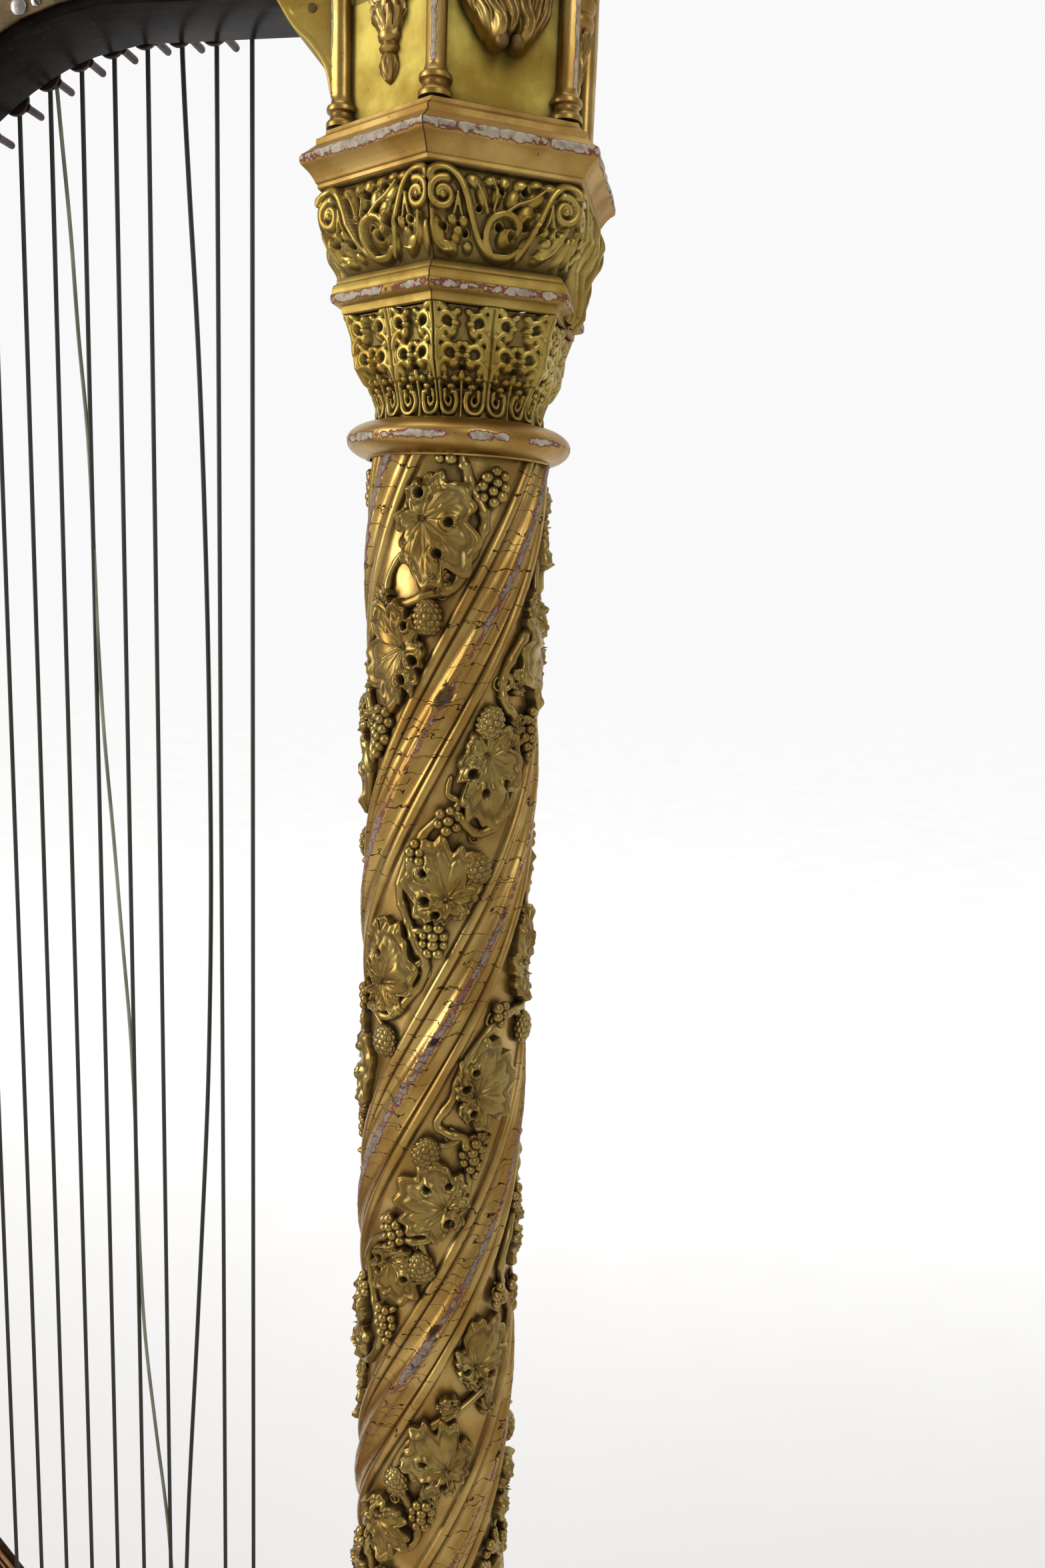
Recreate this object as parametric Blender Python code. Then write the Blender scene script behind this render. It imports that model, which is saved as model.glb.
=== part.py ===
"""A gothic double-action pedal harp: gilt twisted column, hexagonal capital and tower, harmonic-curve
neck, 46 strings, tapering soundbox on a pedal base, seven pedals with their pull rods, and the fork
discs of the lowest octave. Metres, +Z up, column towards +X, player's left towards +Y.

Every shape is laid out about the column's axis, which an empty carries to its place in the whole."""

import math

import bmesh
import bpy
import numpy as np
from mathutils import Matrix, Vector

# ---------------------------------------------------------------- driving dimensions
COLUMN_X = 0.358039
GAP = 0.0003
SMOOTH_UP_TO = 35.0
RING_Z = 1.300
TOTAL_HEIGHT = 1.780

BASE_TOP = 0.140
BASE_FLOOR = 0.026
BASE_FLOOR_THICK = 0.010
BASE_WALL = 0.014
BASE_LID = 0.022
PEDESTAL_TOP = 0.400
SHAFT_BOTTOM = 0.432

RIB_COUNT = 3
RIB_CREST = 0.0390
CHANNEL_FLOOR = 0.0335
RIB_HALF_ANGLE = 32.0
TWIST_PER_METRE = 820.0
CREST_AT_RING = 4.0
BORE_RADIUS = 0.020
BORE_TOP = 1.570

COLONNETTE_CIRCLE = 0.0498
TOWER_WALL_TOP = 1.600
GALLERY_TOP = 1.655

STRING_COUNT = 46
FIRST_STRING_X = -0.1007
FIRST_STRING_Z = 0.194
WIDEST_STRING_GAP = 0.0161
NARROWEST_STRING_GAP = 0.0111
STRING_RADIUS = 0.0009
STRING_STAND_OFF = 0.024
SEMITONE = 2 ** (1 / 12)
TUNING_TAIL = 0.045

BOARD_SLOPE = 1.57
BOARD_THICK = 0.005
STRIP_THICK = 0.0025
BOARD_TOP = 1.205
BOARD_HALF_WIDTH_BELOW = 0.165
BOARD_HALF_WIDTH_ABOVE = 0.055
BOX_DEPTH_BELOW = 0.212
BOX_DEPTH_ABOVE = 0.090
BOX_WALL = 0.006

NECK_HALF_THICK = 0.0172
PLATE_THICK = 0.0025
SHOULDER_TOP = 1.262

DISC_ABOVE_EDGE = 0.007
DISC_RADIUS = 0.0068
DISC_THICK = 0.0022
PRONG_RADIUS = 0.0017
PRONG_OFFSET = 0.0056
PRONG_LENGTH = 0.0115
PRONG_REST_ANGLE = 60.0
FIRST_DISC_STRING = 1

PEDAL_NOTES = ("d", "c", "b", "e", "f", "g", "a")
SCALE_FROM_SECOND_STRING = ("d", "e", "f", "g", "a", "b", "c")
PEDAL_BACK_Y = (0.152, 0.107, 0.062, -0.042, -0.084, -0.124, -0.163)
PEDAL_PIVOT = (0.050, 0.096)
PEDAL_PITCH = 0.0052
ARM_WIDTH = 0.0042
ARM_HEIGHT = 0.012
AXLE_RADIUS = 0.0030
ROD_RADIUS = 0.00175
ROD_BOTTOM = 0.1055
ROD_TOP = 1.556

FRONT_FOOT = (0.074, 0.088)
BACK_FOOT = (-0.262, 0.132)

# ---------------------------------------------------------------- scene and materials

for leftover in list(bpy.data.objects):
    bpy.data.objects.remove(leftover, do_unlink=True)


def finish(name, colour, roughness, metallic):
    material = bpy.data.materials.new(name)
    material.use_nodes = True
    shader = material.node_tree.nodes["Principled BSDF"]
    shader.inputs["Base Color"].default_value = (*colour, 1.0)
    shader.inputs["Roughness"].default_value = roughness
    shader.inputs["Metallic"].default_value = metallic
    return material


GILT = finish("gilt", (0.56, 0.36, 0.11), 0.34, 0.9)
DARK_WOOD = finish("dark_wood", (0.05, 0.03, 0.02), 0.4, 0.0)
BRASS = finish("brass", (0.45, 0.32, 0.16), 0.4, 0.9)
STEEL = finish("steel", (0.30, 0.29, 0.28), 0.4, 0.9)
SPRUCE = finish("spruce", (0.42, 0.22, 0.07), 0.3, 0.0)
MAPLE = finish("maple", (0.30, 0.14, 0.05), 0.25, 0.0)
GUT = finish("gut", (0.06, 0.06, 0.045), 0.5, 0.0)

COLUMN_AXIS = bpy.data.objects.new("column_axis", None)
COLUMN_AXIS.location = (COLUMN_X, 0, 0)
bpy.context.scene.collection.objects.link(COLUMN_AXIS)

# ---------------------------------------------------------------- mesh helpers


def mesh_of(vertices, faces):
    """A closed mesh with its faces turned outwards."""
    work = bmesh.new()
    made = [work.verts.new(v) for v in vertices]
    for face in faces:
        work.faces.new([made[n] for n in face])
    bmesh.ops.recalc_face_normals(work, faces=work.faces)
    mesh = bpy.data.meshes.new("shape")
    work.to_mesh(mesh)
    work.free()
    return mesh


def lofted(rings):
    """A skin over rings of equal count, capped at both ends."""
    count = len(rings[0])
    vertices = [point for ring in rings for point in ring]
    faces = [tuple(range(count)), tuple(range(len(vertices) - count, len(vertices)))]
    for a in range(len(rings) - 1):
        b = a + 1
        for k in range(count):
            n = (k + 1) % count
            faces.append((a * count + k, a * count + n, b * count + n, b * count + k))
    return mesh_of(vertices, faces)


def merged(meshes):
    """Several closed meshes as one mesh of separate shells, for use as a tool."""
    work = bmesh.new()
    for mesh in meshes:
        work.from_mesh(mesh)
    mesh = bpy.data.meshes.new("tool")
    work.to_mesh(mesh)
    work.free()
    return mesh


def boolean(base, operation, tool):
    """The base mesh joined with, or cut by, the tool mesh."""
    body = bpy.data.objects.new("body", base)
    other = bpy.data.objects.new("other", tool)
    for obj in (body, other):
        bpy.context.scene.collection.objects.link(obj)
    modifier = body.modifiers.new("boolean", "BOOLEAN")
    modifier.operation = operation
    modifier.solver = "EXACT"
    modifier.use_self = operation == "UNION"
    modifier.object = other
    bpy.context.view_layer.update()
    graph = bpy.context.evaluated_depsgraph_get()
    result = bpy.data.meshes.new_from_object(body.evaluated_get(graph))
    for obj in (body, other):
        bpy.data.objects.remove(obj)
    return result


def node(name, mesh, material, origin=(0, 0, 0)):
    """One named solid, laid out about the column's axis, with its own origin."""
    mesh.name = name
    mesh.transform(Matrix.Translation(-Vector(origin)))
    mesh.materials.clear()
    mesh.materials.append(material)
    mesh.shade_smooth()
    mesh.set_sharp_from_angle(angle=math.radians(SMOOTH_UP_TO))
    obj = bpy.data.objects.new(name, mesh)
    obj.parent = COLUMN_AXIS
    obj.location = origin
    bpy.context.scene.collection.objects.link(obj)
    return obj


def polar(radius, degrees, z):
    angle = math.radians(degrees)
    return (radius * math.cos(angle), radius * math.sin(angle), z)


def circle(radius, z, count, turn=0.0, centre=(0.0, 0.0)):
    ring = [polar(radius, turn + 360 * k / count, z) for k in range(count)]
    return [(x + centre[0], y + centre[1], z) for x, y, z in ring]


def hexagon(radius, z):
    """Corners at 30, 90 and 150 degrees either side of the front, so a face looks forward."""
    return circle(radius, z, 6, turn=30)


def turned(profile, count, centre=(0.0, 0.0)):
    return lofted([circle(r, z, count, centre=centre) for r, z in profile])


def block(low, high):
    (x0, y0, z0), (x1, y1, z1) = low, high
    plan = ((x0, y0), (x1, y0), (x1, y1), (x0, y1))
    return lofted([[(x, y, z) for x, y in plan] for z in (z0, z1)])


def cylinder_y(radius, y0, y1, count, x, z):
    ring = circle(radius, 0, count, turn=180 / count)
    return lofted([[(x + a, y, z + b) for a, b, _ in ring] for y in (y0, y1)])


def side_plate(outline, y0, y1):
    """An outline of (x, z) points given a thickness along Y."""
    return lofted([[(x, y, z) for x, z in outline] for y in (y0, y1)])


def flowing(points, steps):
    """A smooth curve through the points, with this many steps between each pair."""
    spots = [Vector(p) for p in points]
    spots = [2 * spots[0] - spots[1], *spots, 2 * spots[-1] - spots[-2]]
    path = []
    for a, b, c, d in zip(spots, spots[1:], spots[2:], spots[3:]):
        for n in range(steps):
            t = n / steps
            path.append(
                0.5 * (2 * b + (c - a) * t + (2 * a - 5 * b + 4 * c - d) * t**2
                       + (3 * b - a - 3 * c + d) * t**3)
            )
    return [tuple(p) for p in (*path, spots[-2])]


def height_on(path, x):
    """The height of a path of (x, z) points at x."""
    ordered = sorted(path)
    return float(np.interp(x, [p[0] for p in ordered], [p[1] for p in ordered]))


BORE = turned(((BORE_RADIUS, BASE_TOP - 0.04), (BORE_RADIUS, BORE_TOP)), 16)

# ---------------------------------------------------------------- the harp's own lines

NECK_UNDERSIDE = flowing(
    ((-0.147, 1.4615), (-0.178, 1.4545), (-0.212, 1.4360), (-0.255, 1.4000), (-0.305, 1.3450),
     (-0.365, 1.2880), (-0.435, 1.2370), (-0.510, 1.2020), (-0.585, 1.1900), (-0.650, 1.2020),
     (-0.713, 1.2400), (-0.742, SHOULDER_TOP + GAP)), 3)
NECK_BACK = flowing(
    ((-0.062, 1.7080), (-0.130, 1.7080), (-0.200, 1.6640), (-0.265, 1.5850), (-0.335, 1.4950),
     (-0.415, 1.4080), (-0.500, 1.3450), (-0.590, 1.3120), (-0.670, 1.3160), (-0.740, 1.3350),
     (-0.790, 1.3220), (-0.814, 1.2900)), 3)


def string_x(index):
    """Gaps narrow evenly from the bass to the treble."""
    shrink = (WIDEST_STRING_GAP - NARROWEST_STRING_GAP) / (STRING_COUNT - 2)
    return FIRST_STRING_X - index * WIDEST_STRING_GAP + shrink * index * (index - 1) / 2


def board_z(x, behind=0.0):
    """The height of the soundboard's plane at x, or of a plane this far behind it."""
    drop = behind * math.hypot(1, BOARD_SLOPE)
    return FIRST_STRING_Z + (FIRST_STRING_X - x) * BOARD_SLOPE - drop


def board_x(z, behind=0.0):
    shift = behind * math.hypot(1, BOARD_SLOPE) / BOARD_SLOPE
    return FIRST_STRING_X - (z - FIRST_STRING_Z) / BOARD_SLOPE - shift


def board_half_width(z):
    share = (z - BASE_TOP) / (BOARD_TOP - BASE_TOP)
    return BOARD_HALF_WIDTH_BELOW + share * (BOARD_HALF_WIDTH_ABOVE - BOARD_HALF_WIDTH_BELOW)


def underside_z(x):
    """The neck's lower edge, which runs level in front of its curve."""
    return NECK_UNDERSIDE[0][1] if x > NECK_UNDERSIDE[0][0] else height_on(NECK_UNDERSIDE, x)


def string_levels(index):
    """Heights at the soundboard, the sharp disc, the natural disc and the bridge pin. Each disc
    shortens the string by one semitone."""
    x = string_x(index)
    foot = board_z(x)
    sharp = underside_z(x) + DISC_ABOVE_EDGE
    length = (sharp - foot) * SEMITONE**2
    return foot, sharp, foot + length / SEMITONE, foot + length


# ---------------------------------------------------------------- column, capital and tower


def rib_radius(degrees_from_crest):
    share = min(1.0, abs(degrees_from_crest) / RIB_HALF_ANGLE)
    return CHANNEL_FLOOR + (RIB_CREST - CHANNEL_FLOOR) * math.cos(share * math.pi / 2) ** 1.3


def column_shaft():
    """Three rounded ribs that climb to the right, with wide channels between them."""
    levels, count = 46, 36
    period = 360 / RIB_COUNT
    top = RING_Z - 0.0101
    rings = []
    for n in range(levels + 1):
        z = SHAFT_BOTTOM + (top - SHAFT_BOTTOM) * n / levels
        turn = CREST_AT_RING + TWIST_PER_METRE * (z - RING_Z)
        ring = []
        for k in range(count):
            angle = 360 * k / count
            off = (angle + period / 2) % period - period / 2
            ring.append(polar(rib_radius(off), turn + angle, z))
        rings.append(ring)
    node("column_shaft", boolean(lofted(rings), "DIFFERENCE", BORE), GILT)


def bored(name, rings):
    """A gilt piece of the column with the hole that the pull rods pass through."""
    node(name, boolean(lofted(rings), "DIFFERENCE", BORE), GILT)


def column_foot():
    """A hexagonal gothic pedestal and the round base moulding that the twisted shaft stands on."""
    z = BASE_TOP + GAP
    pedestal = ((0.066, z), (0.066, 0.162), (0.0625, 0.168), (0.0645, 0.174), (0.0560, 0.190),
                (0.0545, 0.205), (0.0545, 0.355), (0.0580, 0.366), (0.0630, 0.376),
                (0.0630, 0.388), (0.0575, 0.394), (0.0560, PEDESTAL_TOP))
    bored("column_pedestal", [hexagon(r, level) for r, level in pedestal])
    low = PEDESTAL_TOP + GAP
    moulding = ((0.0480, low), (0.0510, low + 0.004), (0.0510, low + 0.008), (0.0480, low + 0.012),
                (0.0425, low + 0.015), (0.0425, low + 0.020), (0.0450, low + 0.024),
                (0.0430, low + 0.029), (0.0400, SHAFT_BOTTOM - GAP))
    bored("column_base_moulding", [circle(r, level, 28) for r, level in moulding])


def capital():
    """Bullnose ring, round-to-hexagon bell, lower moulding, frieze, and cornice with its socle."""
    ring = ((0.0380, -0.0098), (0.0425, -0.0090), (0.0455, -0.0062), (0.0464, -0.0027),
            (0.0455, 0.0008), (0.0425, 0.0036), (0.0380, 0.0044))
    bored("capital_astragal", [circle(r, RING_Z + dz, 32) for r, dz in ring])

    bell = ((0.0360, 0.0047, 0.0), (0.0375, 0.0125, 0.1), (0.0410, 0.0200, 0.5),
            (0.0445, 0.0270, 1.0), (0.0445, 0.0340, 1.0), (0.0465, 0.0400, 1.0),
            (0.0490, 0.0434, 1.0))
    rings = []
    for radius, dz, squareness in bell:
        ring = []
        for k in range(24):
            angle = 15 * k
            off = (angle + 30) % 60 - 30
            flat = math.cos(math.radians(30)) / math.cos(math.radians(off))
            ring.append(polar(radius * (1 + squareness * (flat - 1)), angle, RING_Z + dz))
        rings.append(ring)
    bored("capital_bell", rings)

    moulding = ((0.0495, 0.0437), (0.0543, 0.0473), (0.0540, 0.0510), (0.0525, 0.0550),
                (0.0500, 0.0580))
    bored("capital_lower_moulding", [hexagon(r, RING_Z + dz) for r, dz in moulding])

    frieze = ((0.0480, 0.0583), (0.0530, 0.0655), (0.0565, 0.0720), (0.0580, 0.0780),
              (0.0580, 0.0860), (0.0570, 0.0882))
    bored("capital_frieze", [hexagon(r, RING_Z + dz) for r, dz in frieze])

    cornice = ((0.0578, 0.0885), (0.0622, 0.0925), (0.0640, 0.0950), (0.0662, 0.0980),
               (0.0604, 0.1030), (0.0604, 0.1055), (0.0565, 0.1075), (0.0565, 0.1098))
    bored("capital_cornice", [hexagon(r, RING_Z + dz) for r, dz in cornice])


def chamfered_hexagon(radius, cut, z):
    """A hexagon whose corners are cut flat, where the colonnettes stand."""
    half = math.degrees(math.acos(cut / radius)) * 0.5
    reach = cut / math.cos(math.radians(half))
    ring = []
    for k in range(6):
        corner = 30 + 60 * k
        ring += [polar(reach, corner - half, z), polar(reach, corner + half, z)]
    return ring


def tower():
    foot = RING_Z + 0.1101
    top = TOWER_WALL_TOP - GAP
    bored("tower_core", [chamfered_hexagon(0.0480, 0.0430, z) for z in (foot, top)])

    profile = ((0.0062, 0.0), (0.0062, 0.002), (0.0050, 0.004), (0.0061, 0.0065),
               (0.0050, 0.0090), (0.0038, 0.0115), (0.0038, 0.165), (0.0048, 0.169),
               (0.0040, 0.172), (0.0062, 0.186), (0.0062, top - foot))
    for k in range(6):
        x, y, _ = polar(COLONNETTE_CIRCLE, 30 + 60 * k, 0)
        rings = [(r, foot + dz) for r, dz in profile]
        node(f"tower_colonnette_{k + 1}", turned(rings, 8, centre=(x, y)), GILT, (x, y, foot))

    gallery = ((0.0570, TOWER_WALL_TOP), (0.0600, 1.608), (0.0600, 1.614), (0.0560, 1.619),
               (0.0560, 1.637), (0.0620, 1.644), (0.0650, 1.650), (0.0650, GALLERY_TOP))
    node("tower_gallery", lofted([hexagon(r, z) for r, z in gallery]), GILT)
    crown = ((0.0560, GALLERY_TOP + GAP), (0.0560, 1.672), (0.0500, 1.676), (0.0400, 1.690),
             (0.0330, 1.706), (0.0180, 1.728), (0.0100, 1.742), (0.0150, 1.750),
             (0.0170, 1.758), (0.0120, 1.768), (0.0040, TOTAL_HEIGHT))
    node("crown_cap", lofted([hexagon(r, z) for r, z in crown]), GILT)


# ---------------------------------------------------------------- neck and action


def neck():
    front = -0.0425
    behind_gallery = -0.0600
    outline = [(front, 1.4578), (-0.0700, 1.4578), (-0.0760, NECK_UNDERSIDE[0][1])]
    outline += NECK_UNDERSIDE
    outline += [(-0.814, SHOULDER_TOP + GAP)]
    outline += NECK_BACK[::-1]
    outline += [(behind_gallery, 1.706), (behind_gallery, TOWER_WALL_TOP - 0.002)]
    outline += [(front, TOWER_WALL_TOP - 0.002)]
    node("neck", side_plate(outline, -NECK_HALF_THICK, NECK_HALF_THICK), DARK_WOOD)

    ogee = flowing(((-0.0710, 1.4575), (-0.0606, 1.4426), (-0.0506, 1.4337), (-0.0480, 1.4240)), 3)
    corbel = [(-0.0483, 1.4228), (-0.0480, 1.4575)]
    outline = [*ogee[::-1], *corbel[1:]]
    node("neck_corbel", side_plate(outline, -0.0225, 0.0225), GILT)


def action_plates():
    """Brass plates on both faces of the neck, from its lower edge to just above the bridge pins."""
    stations = [-0.0830, *[string_x(n) for n in range(1, STRING_COUNT, 3)], -0.7300]
    pins = [(string_x(n), string_levels(n)[3] + 0.014) for n in range(STRING_COUNT)]
    lower = [(x, underside_z(x) + 0.0012) for x in stations]
    upper = [(x, height_on(pins, x)) for x in stations]
    outline = lower + upper[::-1]
    inner = NECK_HALF_THICK + GAP
    outer = inner + PLATE_THICK
    node("action_plate_left", side_plate(outline, inner, outer), BRASS)
    node("action_plate_right", side_plate(outline, -outer, -inner), BRASS)


def disc_mesh():
    """A flat disc with two prongs that stand either side of the string."""
    plate = cylinder_y(DISC_RADIUS, 0, DISC_THICK, 12, 0, 0)
    prongs = []
    for side in (-1, 1):
        angle = math.radians(PRONG_REST_ANGLE)
        x = side * PRONG_OFFSET * math.sin(angle)
        z = -side * PRONG_OFFSET * math.cos(angle)
        root = DISC_THICK * 0.5
        prongs.append(cylinder_y(PRONG_RADIUS, root, DISC_THICK + PRONG_LENGTH, 8, x, z))
    joined = boolean(plate, "UNION", prongs[0])
    return boolean(joined, "UNION", prongs[1])


def fork_discs():
    shape = disc_mesh()
    y = NECK_HALF_THICK + GAP + PLATE_THICK + GAP
    for order, note in enumerate(SCALE_FROM_SECOND_STRING):
        index = FIRST_DISC_STRING + order
        _, sharp, natural, _ = string_levels(index)
        for name, z in (("natural", natural), ("sharp", sharp)):
            obj = node(f"{name}_disc_{note}", shape.copy(), BRASS)
            obj.location = (string_x(index), y, z)


def strings():
    """All strings, held in the centre strip that they are knotted into."""
    rings = []
    for z in (BASE_TOP + 0.012, BOARD_TOP - 0.006):
        front, back = board_x(z), board_x(z, STRIP_THICK)
        w = 0.004 + 0.05 * board_half_width(z)
        rings.append([(front, w, z), (front, -w, z), (back, -w, z), (back, w, z)])
    band = lofted(rings)
    wires = []
    for index in range(STRING_COUNT):
        x = string_x(index)
        foot, sharp, _, pin = string_levels(index)
        rise = sharp - foot
        path = ((foot - 0.002, 0.0), (pin + TUNING_TAIL, (pin + TUNING_TAIL - foot) / rise))
        rings = [
            circle(STRING_RADIUS, z, 5, centre=(x, STRING_STAND_OFF * share)) for z, share in path
        ]
        wires.append(lofted(rings))
    node("string_band", boolean(band, "UNION", merged(wires)), GUT)


# ---------------------------------------------------------------- soundbox


def soundboard():
    front = STRIP_THICK + GAP
    back = front + BOARD_THICK
    rings = []
    for z in (BASE_TOP + GAP, BOARD_TOP):
        w = board_half_width(z)
        f, b = board_x(z, front), board_x(z, back)
        rings.append([(f, w, z), (f, -w, z), (b, -w, z), (b, w, z)])
    node("soundboard", lofted(rings), SPRUCE)


def box_section(share, inset=0.0):
    """The soundbox's rounded back at a share of its height, as points from left edge to right."""
    z = BASE_TOP + GAP + share * (BOARD_TOP - BASE_TOP - GAP)
    start = Vector((board_x(z, STRIP_THICK + BOARD_THICK + 2 * GAP), 0, z))
    square_to_board = Vector((-BOARD_SLOPE, 0, -1)).normalized()
    back = Vector((-1, 0, 0)).lerp(square_to_board, share).normalized()
    width = board_half_width(z) - inset
    depth = BOX_DEPTH_BELOW + share * (BOX_DEPTH_ABOVE - BOX_DEPTH_BELOW) - inset
    points = []
    steps = 12
    for n in range(steps + 1):
        angle = math.pi * n / steps
        side = Vector((0, width * math.cos(angle), 0))
        points.append(tuple(start + side + back * depth * math.sin(angle) ** 0.8))
    return points


def sound_hole(share, length, width):
    """A slot with round ends, long in the direction of the box's back, ready to cut the shell."""
    spot = Vector(box_section(share)[6])
    ahead = Vector(box_section(share + 0.02)[6]) - Vector(box_section(share - 0.02)[6])
    ahead.normalize()
    outward = Vector((0, 1, 0)).cross(ahead).normalized()
    rings = []
    for lift in (-0.03, 0.03):
        ring = []
        for k in range(16):
            angle = math.radians(22.5 * k + 11.25)
            along = math.cos(angle) * width / 2 + math.copysign((length - width) / 2, math.cos(angle))
            across = math.sin(angle) * width / 2
            ring.append(tuple(spot + outward * lift + ahead * along + Vector((0, across, 0))))
        rings.append(ring)
    return lofted(rings)


def soundbox():
    rings = []
    for n in range(8):
        share = n / 7
        rings.append(box_section(share) + box_section(share, BOX_WALL)[::-1])
    shell = lofted(rings)
    holes = [sound_hole(0.14 + 0.165 * n, 0.125 - 0.016 * n, 0.062 - 0.009 * n) for n in range(5)]
    node("soundbox_shell", boolean(shell, "DIFFERENCE", merged(holes)), MAPLE)


def shoulder():
    """The block that closes the soundbox and carries the neck's tail."""
    up_board = Vector((-1, 0, BOARD_SLOPE)).normalized()
    square_to_board = Vector((-BOARD_SLOPE, 0, -1)).normalized()
    corner = Vector((board_x(BOARD_TOP), 0, BOARD_TOP)) + up_board * 0.006
    low, middle, high = [], [], []
    for k in range(20):
        angle = 2 * math.pi * k / 20
        c, s = math.cos(angle), math.sin(angle)
        depth = (0.102 if s > 0 else 0.0) * abs(s) ** 0.8
        low.append(corner + Vector((0, BOARD_HALF_WIDTH_ABOVE * c, 0)) + square_to_board * depth)
        plan_x = -0.7785 - 0.0355 * math.copysign(abs(s) ** 0.5, s)
        high.append(Vector((plan_x, 0.0215 * math.copysign(abs(c) ** 0.5, c), SHOULDER_TOP)))
        middle.append(low[-1].lerp(high[-1], 0.45) + up_board * 0.006)
    node("shoulder_block", lofted([[tuple(p) for p in ring] for ring in (low, middle, high)]), MAPLE)


# ---------------------------------------------------------------- base and pedals


def base_plan(grow=0.0):
    """The base's outline seen from above: a faceted front under the column and a round back."""
    half = ((0.112, 0.056), (0.072, 0.128), (0.012, 0.170), (-0.080, 0.185), (-0.235, 0.185),
            (-0.290, 0.165), (-0.330, 0.118), (-0.343, 0.060))
    middle = Vector((-0.115, 0))
    plan = []
    for x, y in (*half, *[(x, -y) for x, y in reversed(half)]):
        out = Vector((x, y)) - middle
        plan.append(Vector((x, y)) + out.normalized() * grow)
    return [(p.x, p.y) for p in plan]


def base():
    floor_top = BASE_FLOOR + BASE_FLOOR_THICK
    rings = []
    for grow, z in ((0.004, BASE_FLOOR), (0.006, BASE_FLOOR + 0.003), (0.006, floor_top - 0.003),
                    (0.002, floor_top)):
        rings.append([(x, y, z) for x, y in base_plan(grow)])
    node("base_floor", lofted(rings), GILT)

    foot = floor_top + GAP
    outer = ((0.002, foot), (0.002, 0.046), (-0.002, 0.052), (-0.002, 0.118), (0.004, 0.126),
             (0.006, 0.134), (0.0, BASE_TOP))
    body = lofted([[(x, y, z) for x, y in base_plan(grow)] for grow, z in outer])
    inner = [[(x, y, z) for x, y in base_plan(-BASE_WALL)] for z in (foot - 0.01, BASE_TOP - BASE_LID)]
    body = boolean(body, "DIFFERENCE", lofted(inner))
    body = boolean(body, "DIFFERENCE", BORE)
    slots = []
    for y in PEDAL_BACK_Y:
        slots.append(block((-0.40, y - 0.0048, foot - 0.01), (-0.230, y + 0.0048, 0.112)))
    node("base_box", boolean(body, "DIFFERENCE", merged(slots)), GILT)

    profile = ((0.014, 0.0), (0.018, 0.002), (0.024, 0.010), (0.023, 0.017), (0.017, 0.021),
               (0.019, BASE_FLOOR - GAP))
    for end, (x, y) in (("front", FRONT_FOOT), ("back", BACK_FOOT)):
        for side, sign in (("left", 1), ("right", -1)):
            shape = turned(profile, 14, centre=(x, sign * y))
            node(f"foot_{end}_{side}", shape, GILT, (x, sign * y, 0))


def pedal_y(order):
    return (3 - order) * PEDAL_PITCH


def pedal_axle():
    """The rod that every pedal turns on, with a bearing block at each end on the base's floor."""
    x, z = PEDAL_PIVOT
    floor_top = BASE_FLOOR + BASE_FLOOR_THICK + GAP
    reach = 3 * PEDAL_PITCH + ARM_WIDTH
    shape = cylinder_y(AXLE_RADIUS, -reach - 0.006, reach + 0.006, 12, x, z)
    for side in (-1, 1):
        y0, y1 = sorted((side * reach, side * (reach + 0.012)))
        cheek = block((x - 0.010, y0, floor_top), (x + 0.010, y1, z + 0.009))
        shape = boolean(shape, "UNION", cheek)
    node("pedal_axle", shape, STEEL, (x, 0, z))


def pedals():
    """Flat arms side by side on the axle, fanned out to the back slots, each with a foot plate."""
    x, z = PEDAL_PIVOT
    for order, note in enumerate(PEDAL_NOTES):
        near, far = pedal_y(order), PEDAL_BACK_Y[order]
        stations = ((x + 0.008, near, z), (-0.040, near, z + 0.001), (-0.275, far, z + 0.006),
                    (-0.385, far, z + 0.008))
        rings = []
        for px, py, pz in stations:
            w, h = ARM_WIDTH / 2, ARM_HEIGHT / 2
            rings.append([(px, py - w, pz - h), (px, py + w, pz - h), (px, py + w, pz + h),
                          (px, py - w, pz + h)])
        arm = lofted(rings)
        hole = cylinder_y(AXLE_RADIUS + 0.00025, near - 0.01, near + 0.01, 12, x, z)
        arm = boolean(arm, "DIFFERENCE", hole)
        plate = ((0.012, -0.362), (0.017, -0.372), (0.018, -0.400), (0.014, -0.416), (0.006, -0.422))
        low, high, crown = [], [], []
        for half, px in (*plate, *[(-h, px) for h, px in reversed(plate)]):
            low.append((px, far + half, z + 0.003))
            high.append((px, far + half, z + 0.0115))
            crown.append((-0.392 + (px + 0.392) * 0.75, far + half * 0.75, z + 0.0145))
        pad = lofted([low, high, crown])
        node(f"pedal_{note}", boolean(arm, "UNION", pad), BRASS, (x, near, z))


def pull_rods():
    """Inside the column: pressing a pedal draws its rod down."""
    for order, note in enumerate(PEDAL_NOTES):
        y = pedal_y(order)
        shape = turned(((ROD_RADIUS, ROD_BOTTOM), (ROD_RADIUS, ROD_TOP)), 6, centre=(0, y))
        node(f"pull_rod_{note}", shape, STEEL, (0, y, ROD_BOTTOM))


column_shaft()
column_foot()
capital()
tower()
neck()
action_plates()
fork_discs()
strings()
soundboard()
soundbox()
shoulder()
base()
pedal_axle()
pedals()
pull_rods()
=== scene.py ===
import math

import bmesh
import bpy
import numpy as np
from mathutils import Matrix, Vector


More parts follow.
